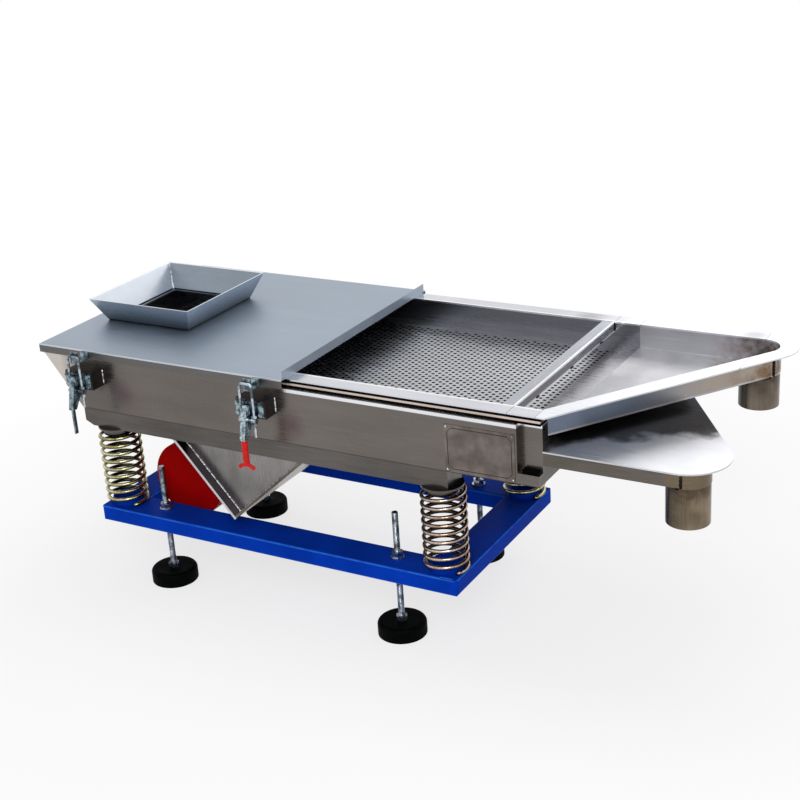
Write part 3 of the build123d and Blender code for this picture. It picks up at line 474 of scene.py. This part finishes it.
def chute_tint(look, base):
    """White rim with seams and a stain, grey walls in painted shade with a painted blue-grey to warm
    reflection on the outer side, a pale floor and heat marks round the spout.
    """
    height = look.along("Z")
    seams = [look.line("X", place, SEAM_HALF_WIDTH) for place in CHUTE_SEAMS_X]
    base = look.mix(look.times(look.math("MAXIMUM", *seams), 0.6), base, SEAM_GREY)
    stain = look.times(look.near(CHUTE_STAIN, 0.01, 0.035), 0.5)
    base = look.mix(stain, base, STAIN_GREY)
    # Painted shade on the walls under the rim, and a painted reflection, blue-grey at one end and warm at
    # the other, on the side that faces out.
    outward = look.facing(OUTER_CHUTE_SIDE)
    reflection_along_side = look.remap(look.along("Y"), *CHUTE_SIDE_Y)
    outer = look.mix(reflection_along_side, srgb(132, 144, 162), srgb(164, 154, 144))
    side = look.mix(look.remap(outward, 0.75, 0.9), srgb(184, 184, 189), outer)
    base = look.mix(look.remap(height, *UNDER_RIM_Z, 1.0, 0.0), base, side)
    floor_clouds = look.remap(look.noise(0.12, 4.0, (1, 0.6, 1)), 0.35, 0.65)
    sheet = look.mix(floor_clouds, srgb(168, 168, 173), srgb(212, 212, 216))
    base = look.mix(look.remap(height, *CHUTE_FLOOR_Z, 1.0, 0.0), base, sheet)
    under_rim = look.math("LESS_THAN", height, RIM_BOTTOM)
    return heat_tint(look, base, UPPER_HEAT, *UPPER_HEAT_REACH, under_rim)


def heat_tint(look, base, place, inner, outer, share=1.0):
    """Straw, brown and black that welding leaves round a place."""
    patches = look.remap(look.noise(0.022, 5.0), 0.38, 0.62)
    straw = look.times(look.near(place, inner, outer), patches, share, 0.8)
    base = look.mix(straw, base, srgb(120, 88, 60))
    black = look.remap(look.noise(0.009, 4.0), 0.56, 0.66)
    soot = look.times(look.near(place, inner * 0.7, inner * 1.3), black, share, 0.85)
    return look.mix(soot, base, srgb(26, 20, 16))


def cover_tint(look, base):
    """Darker rear half, painted shade and reflection from the upper chute, with a ragged edge, and marks
    where walls are welded on beneath.
    """
    # Painted shade and reflection from the upper chute behind a ragged line.
    start_x, start_y = CHUTE_REFLECTION_START
    edge = look.math("ADD", start_y - CHUTE_REFLECTION_SLOPE * start_x, look.times(look.along("X"), CHUTE_REFLECTION_SLOPE))
    behind = look.math("SUBTRACT", look.along("Y"), edge)
    ragged = look.math("ADD", behind, look.remap(look.noise(0.05, 5.0), 0.25, 0.75, -0.03, 0.03))
    base = look.mix(look.remap(ragged, -0.02, 0.015), base, srgb(88, 88, 90))
    spots = look.remap(look.noise(0.007, 4.0), 0.5, 0.6)
    for place in COVER_MARKS:
        mark = look.times(look.near(place, 0.008, 0.03), spots, 0.75)
        base = look.mix(mark, base, srgb(52, 50, 50))
    return base


def lid_tint(look, base):
    """Warmer, darker lips in painted shade, under a fold with a painted highlight."""
    sideways = look.math("ABSOLUTE", look.along("Y"))
    # Painted highlight along the fold.
    base = look.mix(look.remap(sideways, *LID_HIGHLIGHT_Y), base, srgb(205, 210, 216))
    # Painted shade on the lips.
    lips = look.remap(look.along("Z"), *LID_LIP_Z, 1.0, 0.0)
    return look.mix(lips, base, srgb(108, 106, 105))


def hopper_tint(look, base):
    """Painted light on the feed side, painted shade darkening the outer walls towards the bottom, a painted
    highlight on the top edge and a painted dark shadow along the foot.
    """
    height = look.along("Z")
    # Painted light on the side that faces this direction.
    pale = look.remap(look.facing(HOPPER_LIT_SIDE), 0.85, 0.97)
    base = look.mix(pale, base, srgb(196, 201, 209))
    # Painted shade on the outer walls, darker towards the bottom.
    outside = look.remap(look.facing((0, 0, 1)), -0.1, -0.3)
    shade = look.remap(height, *HOPPER_SHADE_Z, 0.45, 1.4)
    base = look.mix(outside, base, look.mix(1.0, base, shade, "MULTIPLY"))
    # Painted highlight on the top edge.
    base = look.mix(look.remap(height, *HOPPER_HIGHLIGHT_Z), base, srgb(235, 238, 242))
    # Painted shadow along the foot.
    return look.mix(look.remap(height, *HOPPER_SHADOW_Z, 1.0, 0.0), base, srgb(16, 17, 19))


def bar_tint(look, base):
    """Grey sides in painted shade, and bright painted highlights along the top edge and the foot."""
    height = look.along("Z")
    # Painted shade on the sides.
    base = look.mix(look.remap(height, *BAR_SIDE_SHADE_Z, 1.0, 0.0), base, srgb(124, 123, 128))
    # Painted highlight along the top edge.
    top_edge_highlight = look.times(look.remap(look.along("X"), *BAR_HIGHLIGHT_X), look.remap(height, *BAR_HIGHLIGHT_Z))
    base = look.mix(top_edge_highlight, base, srgb(252, 252, 253))
    # Painted highlight along the foot.
    return look.mix(look.remap(height, *BAR_FOOT_HIGHLIGHT_Z, 1.0, 0.0), base, srgb(246, 242, 236))


def screen_tint(look, base):
    """Dark walls inside the holes from painted shade, and a duller end past them."""
    past_holes = look.remap(look.along("X"), *SCREEN_END_X)
    base = look.mix(past_holes, base, srgb(184, 184, 189))
    # Painted shade: walls inside the holes are dark.
    level = look.math("ABSOLUTE", look.facing((0, 0, 1)))
    return look.mix(look.remap(level, 0.4, 0.6, 1.0, 0.0), base, srgb(14, 14, 16))


def lower_tint(look, base):
    """Brown where the lower chute bends round its pipe."""
    return look.mix(look.near(LOWER_HEAT, *LOWER_HEAT_REACH), base, srgb(122, 108, 90))


def plate_tint(look, base):
    """Bright edges on the motor plate: a painted highlight."""
    # Painted highlight on edges that face along Y.
    edge = look.math("ABSOLUTE", look.facing((0, 1, 0)))
    return look.mix(look.remap(edge, 0.8, 0.95), base, srgb(222, 222, 226))


def pipe_tint(top):
    """Soot and straw near the welded end of a pipe, and painted shade down one side."""

    def tint(look, base):
        depth = look.math("SUBTRACT", top, look.along("Z"))
        ragged = look.math("ADD", depth, look.remap(look.noise(0.02, 4.0), 0.2, 0.8, -0.014, 0.014))
        base = look.mix(look.remap(ragged, 0.006, 0.03, 0.7, 0.0), base, srgb(58, 46, 36))
        # Painted shade down the side facing this direction.
        shade = look.remap(look.facing((-0.95, -0.3, 0)), 0.35, 0.95, 0.0, 0.85)
        return look.mix(shade, base, srgb(28, 30, 38))

    return tint


blue = paint("blue_paint", srgb(4, 56, 174), srgb(48, 112, 226))
red = paint("motor_red", srgb(158, 5, 5), srgb(176, 12, 10), 0.38)
black = rubber("black_rubber")
zinc = plated("zinc", srgb(146, 162, 170), srgb(74, 88, 96))
bright_zinc = plated("bright_zinc", srgb(182, 190, 198), srgb(92, 98, 106), patch=0.02)
GOLD_WIRE = (srgb(234, 224, 172), srgb(176, 166, 108), srgb(22, 24, 18))
ROSE_WIRE = (srgb(232, 208, 192), srgb(182, 146, 120), srgb(26, 20, 20))
WIRE_TONES = {"fl": GOLD_WIRE, "fr": ROSE_WIRE, "rl": GOLD_WIRE, "rr": GOLD_WIRE}
WIRE = {corner: coil_plating(corner, *tones) for corner, tones in WIRE_TONES.items()}
wall = steel("trough_sheet", srgb(114, 108, 104), contrast=0.1, blotch=0.25, streak=0.12, tint=wall_tint)
bracket_steel = steel("bracket_steel", srgb(92, 90, 90), contrast=0.2, streak=0.15)
# Painted shade: the trough floor under the screen is near black.
floor_shade_steel = steel("trough_floor_shade", srgb(26, 26, 28), contrast=0.2)
end_steel = steel("end_plate", srgb(100, 95, 90), grain=(1, 0.03, 1), contrast=0.2)
beam_steel = steel("beam_steel", srgb(104, 100, 97), contrast=0.15)
gusset_steel = steel("gusset_steel", srgb(142, 139, 138), grain=(1, 1, 0.05), contrast=0.2, blotch=0.1)
plate_steel = steel("motor_plate_steel", srgb(64, 60, 64), grain=(1, 0.05, 1), contrast=0.3, tint=plate_tint)
brace_steel = steel("brace_steel", srgb(112, 104, 96), grain=(1, 0.05, 1), contrast=0.3)
rim = steel("rim_steel", srgb(214, 216, 222), roughness=0.2, contrast=0.06, streak=0.1, tint=frame_tint)
strip = steel("strip_steel", srgb(216, 198, 188), streak=0.15)
lid_steel = steel(
    "lid_steel", srgb(157, 168, 181), roughness=0.42, contrast=0.04, streak=0.08, blotch=0.35, tint=lid_tint
)
hopper_steel = steel(
    "hopper_steel", srgb(144, 154, 166), roughness=0.3, contrast=0.06, streak=0.1, tint=hopper_tint
)
chute_steel = steel(
    "chute_steel", srgb(222, 224, 229), roughness=0.36, contrast=0.05, streak=0.12, tint=chute_tint
)
cover_steel = steel(
    "cover_steel", srgb(214, 215, 220), roughness=0.33, contrast=0.08, streak=0.15, tint=cover_tint
)
lower_steel = steel("lower_chute_steel", srgb(110, 103, 97), contrast=0.12, tint=lower_tint)
upper_pipe = steel(
    "upper_pipe_steel",
    srgb(126, 116, 104),
    grain=(1, 1, 0.04),
    contrast=0.25,
    blotch=0.05,
    tint=pipe_tint(UPPER_SPOUT_HIGH.z),
)
lower_pipe = steel(
    "lower_pipe_steel",
    srgb(138, 123, 104),
    grain=(1, 1, 0.04),
    contrast=0.25,
    blotch=0.05,
    tint=pipe_tint(LOWER_SPOUT_HIGH.z),
)
sieve_steel = steel("sieve_steel", srgb(192, 193, 198), roughness=0.28, contrast=0.08, tint=screen_tint)
bar_steel = steel(
    "bar_steel", srgb(178, 181, 188), grain=(1, 0.03, 1), streak=0.12, contrast=0.06, tint=bar_tint
)
core = plated("core_steel", srgb(124, 124, 127), srgb(88, 84, 80), 0.4)
plate_alu = nameplate_look("nameplate_metal")
lever = lever_look("lever")
silver_weld = plated("silver_weld", srgb(205, 206, 210), srgb(120, 118, 120), 0.3, patch=0.006)
burnt_weld = plated("burnt_weld", srgb(44, 38, 34), srgb(16, 14, 13), 0.4, patch=0.006)

LOOKS = {
    "base_front_rail": blue,
    "base_rear_rail": blue,
    "base_feed_rail": blue,
    "base_discharge_rail": blue,
    "lower_spring_seats": blue,
    "foot_lock_nuts": bright_zinc,
    "trough_front_wall": wall,
    "trough_rear_wall": wall,
    "trough_floor": floor_shade_steel,
    "trough_end_plate": end_steel,
    "seal_gaskets": black,
    "seal_strip": strip,
    "front_beam": beam_steel,
    "rear_beam": beam_steel,
    "upper_spring_seats": beam_steel,
    "motor_plate": plate_steel,
    "brace_plate": brace_steel,
    "mount_gussets": gusset_steel,
    "lower_chute": lower_steel,
    "lower_chute_cover": cover_steel,
    "lower_spout": lower_pipe,
    "upper_spout": upper_pipe,
    "clamp_brackets": bracket_steel,
    "clamp_bases": zinc,
    "nameplate": plate_alu,
    "motor_housing": red,
    "motor_stator": core,
    "motor_end_shields": red,
    "motor_end_caps": red,
    "terminal_box": red,
    "motor_bolts": bright_zinc,
    "rotor_shaft": core,
    "eccentric_weights": core,
    "sieve_frame": rim,
    "sieve_plate": sieve_steel,
    "cross_bar": bar_steel,
    "upper_chute": chute_steel,
    "lid": lid_steel,
    "hopper": hopper_steel,
    "keepers": zinc,
}
for corner in CORNERS:
    LOOKS[f"spring_{corner}"] = WIRE[corner]
    LOOKS[f"foot_stud_{corner}"] = bright_zinc
    LOOKS[f"foot_pad_{corner}"] = black
for clamp in CLAMPS:
    LOOKS[f"clamp_lever_{clamp}"] = zinc if clamp == "fl" else lever
    LOOKS[f"clamp_hook_{clamp}"] = bright_zinc
for name, node in nodes.items():
    node.data.materials.clear()
    node.data.materials.append(LOOKS[name])


def piece(name, verts, faces, material, slot, smooth=True):
    """A mesh object in the row frame, with its material; its slot argument is not used."""
    mesh = bpy.data.meshes.new(name)
    mesh.from_pydata([tuple(v) for v in verts], [], [tuple(f) for f in faces])
    mesh.validate()
    mesh.update()
    mesh.polygons.foreach_set("use_smooth", [smooth] * len(mesh.polygons))
    mesh.materials.append(material)
    obj = bpy.data.objects.new(name, mesh)
    bpy.context.scene.collection.objects.link(obj)
    return obj


def skin(rings, sides):
    """Faces round a stack of rings, closed at both ends, with this many verts in each ring."""
    faces = []
    for row in range(rings - 1):
        for k in range(sides):
            a = row * sides + k
            b = row * sides + (k + 1) % sides
            faces.append((a, b, b + sides, a + sides))
    faces.append(tuple(reversed(range(sides))))
    faces.append(tuple(range((rings - 1) * sides, rings * sides)))
    return faces


def tube(points, radius, sides):
    """Verts and faces of a closed round tube along points; radius is one value or one per point."""
    points = np.asarray(points, float)
    count = len(points)
    radii = np.broadcast_to(radius, count)
    tangents = np.gradient(points, axis=0)
    tangents /= np.linalg.norm(tangents, axis=1)[:, None]
    start = np.array([1.0, 0.0, 0.0]) if abs(tangents[0][0]) < 0.9 else np.array([0.0, 0.0, 1.0])
    normal = start - tangents[0] * (start @ tangents[0])
    angles = np.linspace(0, 2 * math.pi, sides, endpoint=False)
    verts = []
    for point, tangent, size in zip(points, tangents, radii):
        normal = normal - tangent * (normal @ tangent)
        normal /= np.linalg.norm(normal)
        side = np.cross(tangent, normal)
        verts += [point + size * (math.cos(a) * normal + math.sin(a) * side) for a in angles]
    return verts, skin(count, sides)


def joined(parts):
    """Verts and faces of several meshes as one."""
    verts = []
    faces = []
    for part_verts, part_faces in parts:
        first = len(verts)
        verts += list(part_verts)
        faces += [tuple(first + v for v in face) for face in part_faces]
    return verts, faces


def bead(corners, radius, ripple=1.3):
    """A weld bead along a run of corners: a rippled tube with tapered ends."""
    runs = []
    for start, end in zip(corners, corners[1:]):
        start = np.array(start, float)
        reach = np.array(end, float) - start
        count = max(3, int(np.linalg.norm(reach) / (radius * ripple) * BEAD_STEPS))
        runs.append(start + reach * np.linspace(0, 1, count, endpoint=False)[:, None])
    points = np.concatenate(runs + [np.array([corners[-1]], float)])
    waves = np.abs(np.cos(math.pi * np.arange(len(points)) / BEAD_STEPS))
    radii = radius * (1 - BEAD_DIP + BEAD_DIP * waves)
    radii[[0, -1]] *= BEAD_TAPER
    return tube(points, radii, BEAD_SIDES)


def arc(centre, radius, height, first, last, count=16):
    """Points on a level arc, with its angles in degrees."""
    angles = np.radians(np.linspace(first, last, count))
    return [(centre.x + radius * math.cos(a), centre.y + radius * math.sin(a), height) for a in angles]


def ring(centre, radius, height, sides):
    """Corners of a level polygon."""
    return arc(centre, radius, height, 0, 360 - 360 / sides, sides)


# Coil springs, stretched between the base and the deck
for corner in CORNERS:
    low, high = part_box(f"spring_{corner}")
    centre = (low + high) / 2
    coil_radius = (high.x - low.x) / 2 - WIRE_RADIUS
    turns = np.linspace(0, COIL_TURNS, int(COIL_TURNS * COIL_STEPS_PER_TURN))
    heights = low.z + WIRE_RADIUS + turns / COIL_TURNS * (high.z - low.z - 2 * WIRE_RADIUS)
    angles = COIL_START + 2 * math.pi * turns
    path = np.stack(
        [centre.x + coil_radius * np.cos(angles), centre.y + coil_radius * np.sin(angles), heights], axis=1
    )
    coil = piece(f"coil_{corner}", *tube(path, WIRE_RADIUS, COIL_SIDES), WIRE[corner], "spring_steel")
    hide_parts(f"spring_{corner}")
    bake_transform(coil)


# Foot studs with a cut thread and a hexagon collar
for corner in CORNERS:
    low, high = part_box(f"foot_stud_{corner}")
    centre = (low + high) / 2
    rows = int((high.z - low.z) / THREAD_PITCH * THREAD_STEPS)
    thread = []
    for row in range(rows + 1):
        z = low.z + (high.z - low.z) * row / rows
        for k in range(THREAD_SIDES):
            phase = (z / THREAD_PITCH - k / THREAD_SIDES) % 1.0
            radius = STUD_RADIUS - THREAD_DEPTH * abs(2 * phase - 1)
            if row == rows:
                radius = STUD_RADIUS - THREAD_DEPTH
            angle = 2 * math.pi * k / THREAD_SIDES
            thread.append((centre.x + radius * math.cos(angle), centre.y + radius * math.sin(angle), z))
    corner_radius = COLLAR_FLATS / math.sqrt(3)
    collar = ring(centre, corner_radius, low.z, COLLAR_SIDES)
    collar += ring(centre, corner_radius, low.z + COLLAR_HEIGHT, COLLAR_SIDES)
    rod = joined([(thread, skin(rows + 1, THREAD_SIDES)), (collar, skin(2, COLLAR_SIDES))])
    stud = piece(f"threaded_stud_{corner}", *rod, bright_zinc, "zinc_steel", smooth=False)
    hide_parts(f"foot_stud_{corner}")
    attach(stud, f"foot_{corner}")


def perforated_sheet(low, high):
    """Verts and faces of a sheet with round holes in staggered rows, each hole in its own cell."""
    cell_edge = ((1, 0), (1, 1), (0, 1), (-1, 1), (-1, 0), (-1, -1), (0, -1), (1, -1))
    angles = [2 * math.pi * k / HOLE_SIDES for k in range(HOLE_SIDES)]
    circle = [(HOLE_RADIUS * math.cos(a), HOLE_RADIUS * math.sin(a)) for a in angles]
    half_row = HOLE_ROW_PITCH / 2
    half_pitch = HOLE_PITCH / 2
    first_x = HOLES_END_X - HOLE_ROWS * HOLE_ROW_PITCH
    first_y = -HOLES_IN_ROW * half_pitch
    verts = []
    faces = []
    known = {}

    def vertex(x, y, z):
        """Index of the vertex at a place, which is made the first time."""
        key = (round(x * 1e6), round(y * 1e6), round(z * 1e6))
        if key not in known:
            known[key] = len(verts)
            verts.append((x, y, z))
        return known[key]

    def two_sided(outline):
        """One face of sheet on the top and one on the underside."""
        faces.append(tuple(vertex(x, y, high.z) for x, y in outline))
        faces.append(tuple(vertex(x, y, low.z) for x, y in reversed(outline)))

    def upright(a, b):
        """A face between the top and the underside."""
        corners = ((*a, high.z), (*a, low.z), (*b, low.z), (*b, high.z))
        faces.append(tuple(vertex(*corner) for corner in corners))

    for row in range(HOLE_ROWS):
        middle_x = first_x + (2 * row + 1) * half_row
        shift = row % 2
        for place in range(HOLES_IN_ROW - shift):
            middle_y = first_y + (2 * place + 1 + shift) * half_pitch
            edge = [(middle_x + dx * half_row, middle_y + dy * half_pitch) for dx, dy in cell_edge]
            hole = [(middle_x + dx, middle_y + dy) for dx, dy in circle]
            for k in range(HOLE_SIDES):
                j = (k + 1) % HOLE_SIDES
                two_sided([hole[k], edge[k], edge[j], hole[j]])
                upright(hole[j], hole[k])
        if shift:
            for y in (first_y, -first_y - half_pitch):
                half_cell = [(middle_x + dx * half_row, y) for dx in (-1, 0, 1)]
                half_cell += [(middle_x + dx * half_row, y + half_pitch) for dx in (1, 0, -1)]
                two_sided(half_cell)
    steps_x = [first_x + k * half_row for k in range(2 * HOLE_ROWS + 1)]
    steps_y = [first_y + k * half_pitch for k in range(2 * HOLES_IN_ROW + 1)]
    inner_runs = (
        [(steps_x[0], y) for y in reversed(steps_y)],
        [(x, steps_y[0]) for x in steps_x],
        [(steps_x[-1], y) for y in steps_y],
        [(x, steps_y[-1]) for x in reversed(steps_x)],
    )
    corners = ((low.x, high.y), (low.x, low.y), (high.x, low.y), (high.x, high.y))
    for a, b, run in zip(corners, corners[1:] + corners[:1], inner_runs):
        two_sided([a, b] + run[::-1])
        upright(a, b)
    return verts, faces


# Sieve plate with its holes
sheet = perforated_sheet(*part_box("sieve_plate"))
screen = piece("perforated_screen", *sheet, sieve_steel, "stainless", smooth=False)
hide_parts("sieve_plate")
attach(screen, "sieve")


# Welds on the motor mount and on the brackets of the clamps
apex, plate_end, brace_end = [(x, GUSSET_FRONT, z) for x, z in GUSSET_CORNERS]
mount_bead = bead((brace_end, apex, plate_end), WELD_RADIUS)
mount_welds = piece("mount_welds", *mount_bead, silver_weld, "stainless")
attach(mount_welds, "deck")
bracket_runs = [[(x, WALL_FRONT, z) for z in BRACKET_HEIGHTS] for x in BRACKET_EDGES]
bracket_beads = joined(bead(run, BRACKET_WELD_RADIUS, BRACKET_RIPPLE) for run in bracket_runs)
bracket_welds = piece("bracket_welds", *bracket_beads, silver_weld, "stainless")
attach(bracket_welds, "deck")


# Burnt welds where the outlet pipes meet their chutes
lower_seam = arc(
    LOWER_SPOUT_MIDDLE, PIPE_RADIUS, LOWER_SPOUT_HIGH.z - PIPE_WELD_DROP, *LOWER_WELD_ANGLES
)
lower_butt = [(LOWER_SPOUT_MIDDLE.x, LOWER_BUTT_Y, z) for z in LOWER_BUTT_HEIGHTS]
lower_beads = joined([bead(lower_seam, WELD_RADIUS), bead(lower_butt, WELD_RADIUS, BUTT_RIPPLE)])
lower_weld = piece("lower_spout_weld", *lower_beads, burnt_weld, "stainless")
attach(lower_weld, "deck")
upper_seam = arc(
    UPPER_SPOUT_MIDDLE, PIPE_RADIUS, UPPER_SPOUT_HIGH.z - PIPE_WELD_DROP, *UPPER_WELD_ANGLES
)
tangent_x = UPPER_SPOUT_MIDDLE.x + OUTER_CHUTE_SIDE[0] * (PIPE_RADIUS + WALL_STEP)
tangent_y = UPPER_SPOUT_MIDDLE.y + OUTER_CHUTE_SIDE[1] * (PIPE_RADIUS + WALL_STEP)
upper_butt = [(tangent_x, tangent_y, z) for z in (UPPER_SPOUT_HIGH.z, RIM_BOTTOM - UPPER_BUTT_GAP)]
upper_beads = joined([bead(upper_seam, WELD_RADIUS), bead(upper_butt, WELD_RADIUS, BUTT_RIPPLE)])
upper_weld = piece("upper_spout_weld", *upper_beads, burnt_weld, "stainless")
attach(upper_weld, "sieve")


# Tack welds along the foot of the cross bar, and upright ones at its ends
tack_ends = (-TACK_HALF_LENGTH, TACK_HALF_LENGTH)
tacks = [bead([(BAR_FACE, y + end, TACK_HEIGHT) for end in tack_ends], TACK_RADIUS) for y in TACKS_Y]
tacks += [bead([(BAR_FACE, y, z) for z in BAR_END_HEIGHTS], BAR_END_WELD_RADIUS) for y in BAR_ENDS_Y]
tack_welds = piece("bar_tack_welds", *joined(tacks), burnt_weld, "stainless")
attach(tack_welds, "sieve")


# Nameplate rivets, and the run of weld on the base in front of a spring
low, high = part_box("nameplate")
rivets = [
    tube([(x, low.y + RIVET_ROOT, z), (x, low.y - RIVET_HEIGHT, z)], RIVET_RADIUS, RIVET_SIDES)
    for x in (low.x + RIVET_INSET, high.x - RIVET_INSET)
    for z in (low.z + RIVET_INSET, high.z - RIVET_INSET)
]
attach(piece("nameplate_rivets", *joined(rivets), bright_zinc, "plate_metal"), "deck")
base_bead = bead(BASE_RUN, BASE_WELD_RADIUS, BUTT_RIPPLE)
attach(piece("base_weld", *base_bead, blue, "blue_paint"), "base")


# Hopper corner seams
low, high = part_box("hopper")
hopper_x = (low.x + high.x) / 2
seams = []
for side_x in (-1, 1):
    for side_y in (-1, 1):
        run = [(hopper_x + side_x * x, side_y * y, z) for x, y, z in (HOPPER_SEAM_FOOT, HOPPER_SEAM_TOP)]
        seams.append(bead(run, HOPPER_SEAM_RADIUS, HOPPER_RIPPLE))
hopper_seams = piece("hopper_seams", *joined(seams), silver_weld, "bright_steel")
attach(hopper_seams, "lid")


# Stage: floor, lights, world and camera
def seen_directly(tree):
    """Output that is 1 for what the camera sees, straight or in metal and glass."""
    path_info = tree.nodes.new("ShaderNodeLightPath")
    seen = path_info.outputs["Is Camera Ray"]
    for output in ("Is Glossy Ray", "Is Transmission Ray"):
        either = tree.nodes.new("ShaderNodeMath")
        either.operation = "MAXIMUM"
        tree.links.new(seen, either.inputs[0])
        tree.links.new(path_info.outputs[output], either.inputs[1])
        seen = either.outputs[0]
    return seen


FLOOR_HALF = 12.0
FLOOR_NEAR = 0.9
FLOOR_FAR = 1.7
FLOOR_LIFT = 0.72
floor_mesh = bpy.data.meshes.new("floor")
floor_mesh.from_pydata(
    [
        (-FLOOR_HALF, -FLOOR_HALF, 0),
        (FLOOR_HALF, -FLOOR_HALF, 0),
        (FLOOR_HALF, FLOOR_HALF, 0),
        (-FLOOR_HALF, FLOOR_HALF, 0),
    ],
    [],
    [(0, 1, 2, 3)],
)
floor = bpy.data.objects.new("floor", floor_mesh)
bpy.context.scene.collection.objects.link(floor)
floor_look = Look("floor_paper", 0.9)
floor_look.colour(floor_look.mix(floor_look.noise(0.5), (0.88, 0.88, 0.88), (0.92, 0.92, 0.92)))
floor_look.sheen(0.0)
paper_glow = floor_look.add("ShaderNodeEmission")
paper_mix = floor_look.add("ShaderNodeMixShader")
fade = floor_look.near((0.0, 0.0, 0.0), FLOOR_NEAR, FLOOR_FAR)
whiteness = floor_look.remap(fade, 0.0, 1.0, 1.0, FLOOR_LIFT)
floor_look.feed(paper_mix.inputs["Fac"], floor_look.times(seen_directly(floor_look.tree), whiteness))
floor_look.feed(paper_mix.inputs[1], floor_look.shader.outputs["BSDF"])
floor_look.feed(paper_mix.inputs[2], paper_glow.outputs["Emission"])
floor_output = floor_look.tree.nodes["Material Output"]
floor_look.feed(floor_output.inputs["Surface"], paper_mix.outputs["Shader"])
floor_mesh.materials.append(floor_look.material)


def soft_box(name, place, target, size, power):
    lamp = bpy.data.lights.new(name, "AREA")
    lamp.shape = "RECTANGLE"
    lamp.size, lamp.size_y = size
    lamp.energy = power
    obj = bpy.data.objects.new(name, lamp)
    obj.location = place
    obj.rotation_euler = (Vector(target) - Vector(place)).to_track_quat("-Z", "Y").to_euler()
    bpy.context.scene.collection.objects.link(obj)
    return obj


MIDDLE = (0.0, 0.0, 0.4)
soft_box("key", (1.3, -2.8, 2.3), MIDDLE, (1.8, 1.4), 50)
soft_box("back", (0.5, 2.6, 2.1), MIDDLE, (2.6, 1.2), 12)
soft_box("top", (0.0, 0.2, 3.4), MIDDLE, (2.6, 2.0), 34)

world = bpy.data.worlds.new("studio")
bpy.context.scene.world = world
world.use_nodes = True
sky = world.node_tree
background = sky.nodes["Background"]
background.inputs["Color"].default_value = (1.0, 1.0, 1.0, 1.0)
AMBIENT = 0.5
level = sky.nodes.new("ShaderNodeMapRange")
level.inputs["To Min"].default_value = AMBIENT
level.inputs["To Max"].default_value = 1.0
sky.links.new(seen_directly(sky), level.inputs["Value"])
sky.links.new(level.outputs["Result"], background.inputs["Strength"])

camera_data = bpy.data.cameras.new("camera")
camera_data.sensor_width = SENSOR_MM
camera_data.lens = CAMERA_LENS_MM
camera = bpy.data.objects.new("camera", camera_data)
turn = Matrix.Rotation(math.radians(CAMERA_AZIMUTH), 4, "Z")
tilt = Matrix.Rotation(math.radians(90 - CAMERA_ELEVATION), 4, "X")
roll = Matrix.Rotation(math.radians(-CAMERA_ROLL), 4, "Z")
camera.matrix_world = Matrix.Translation(CAMERA_PLACE) @ turn @ tilt @ roll
bpy.context.scene.collection.objects.link(camera)
bpy.context.scene.camera = camera
bpy.context.scene.view_settings.view_transform = "Standard"
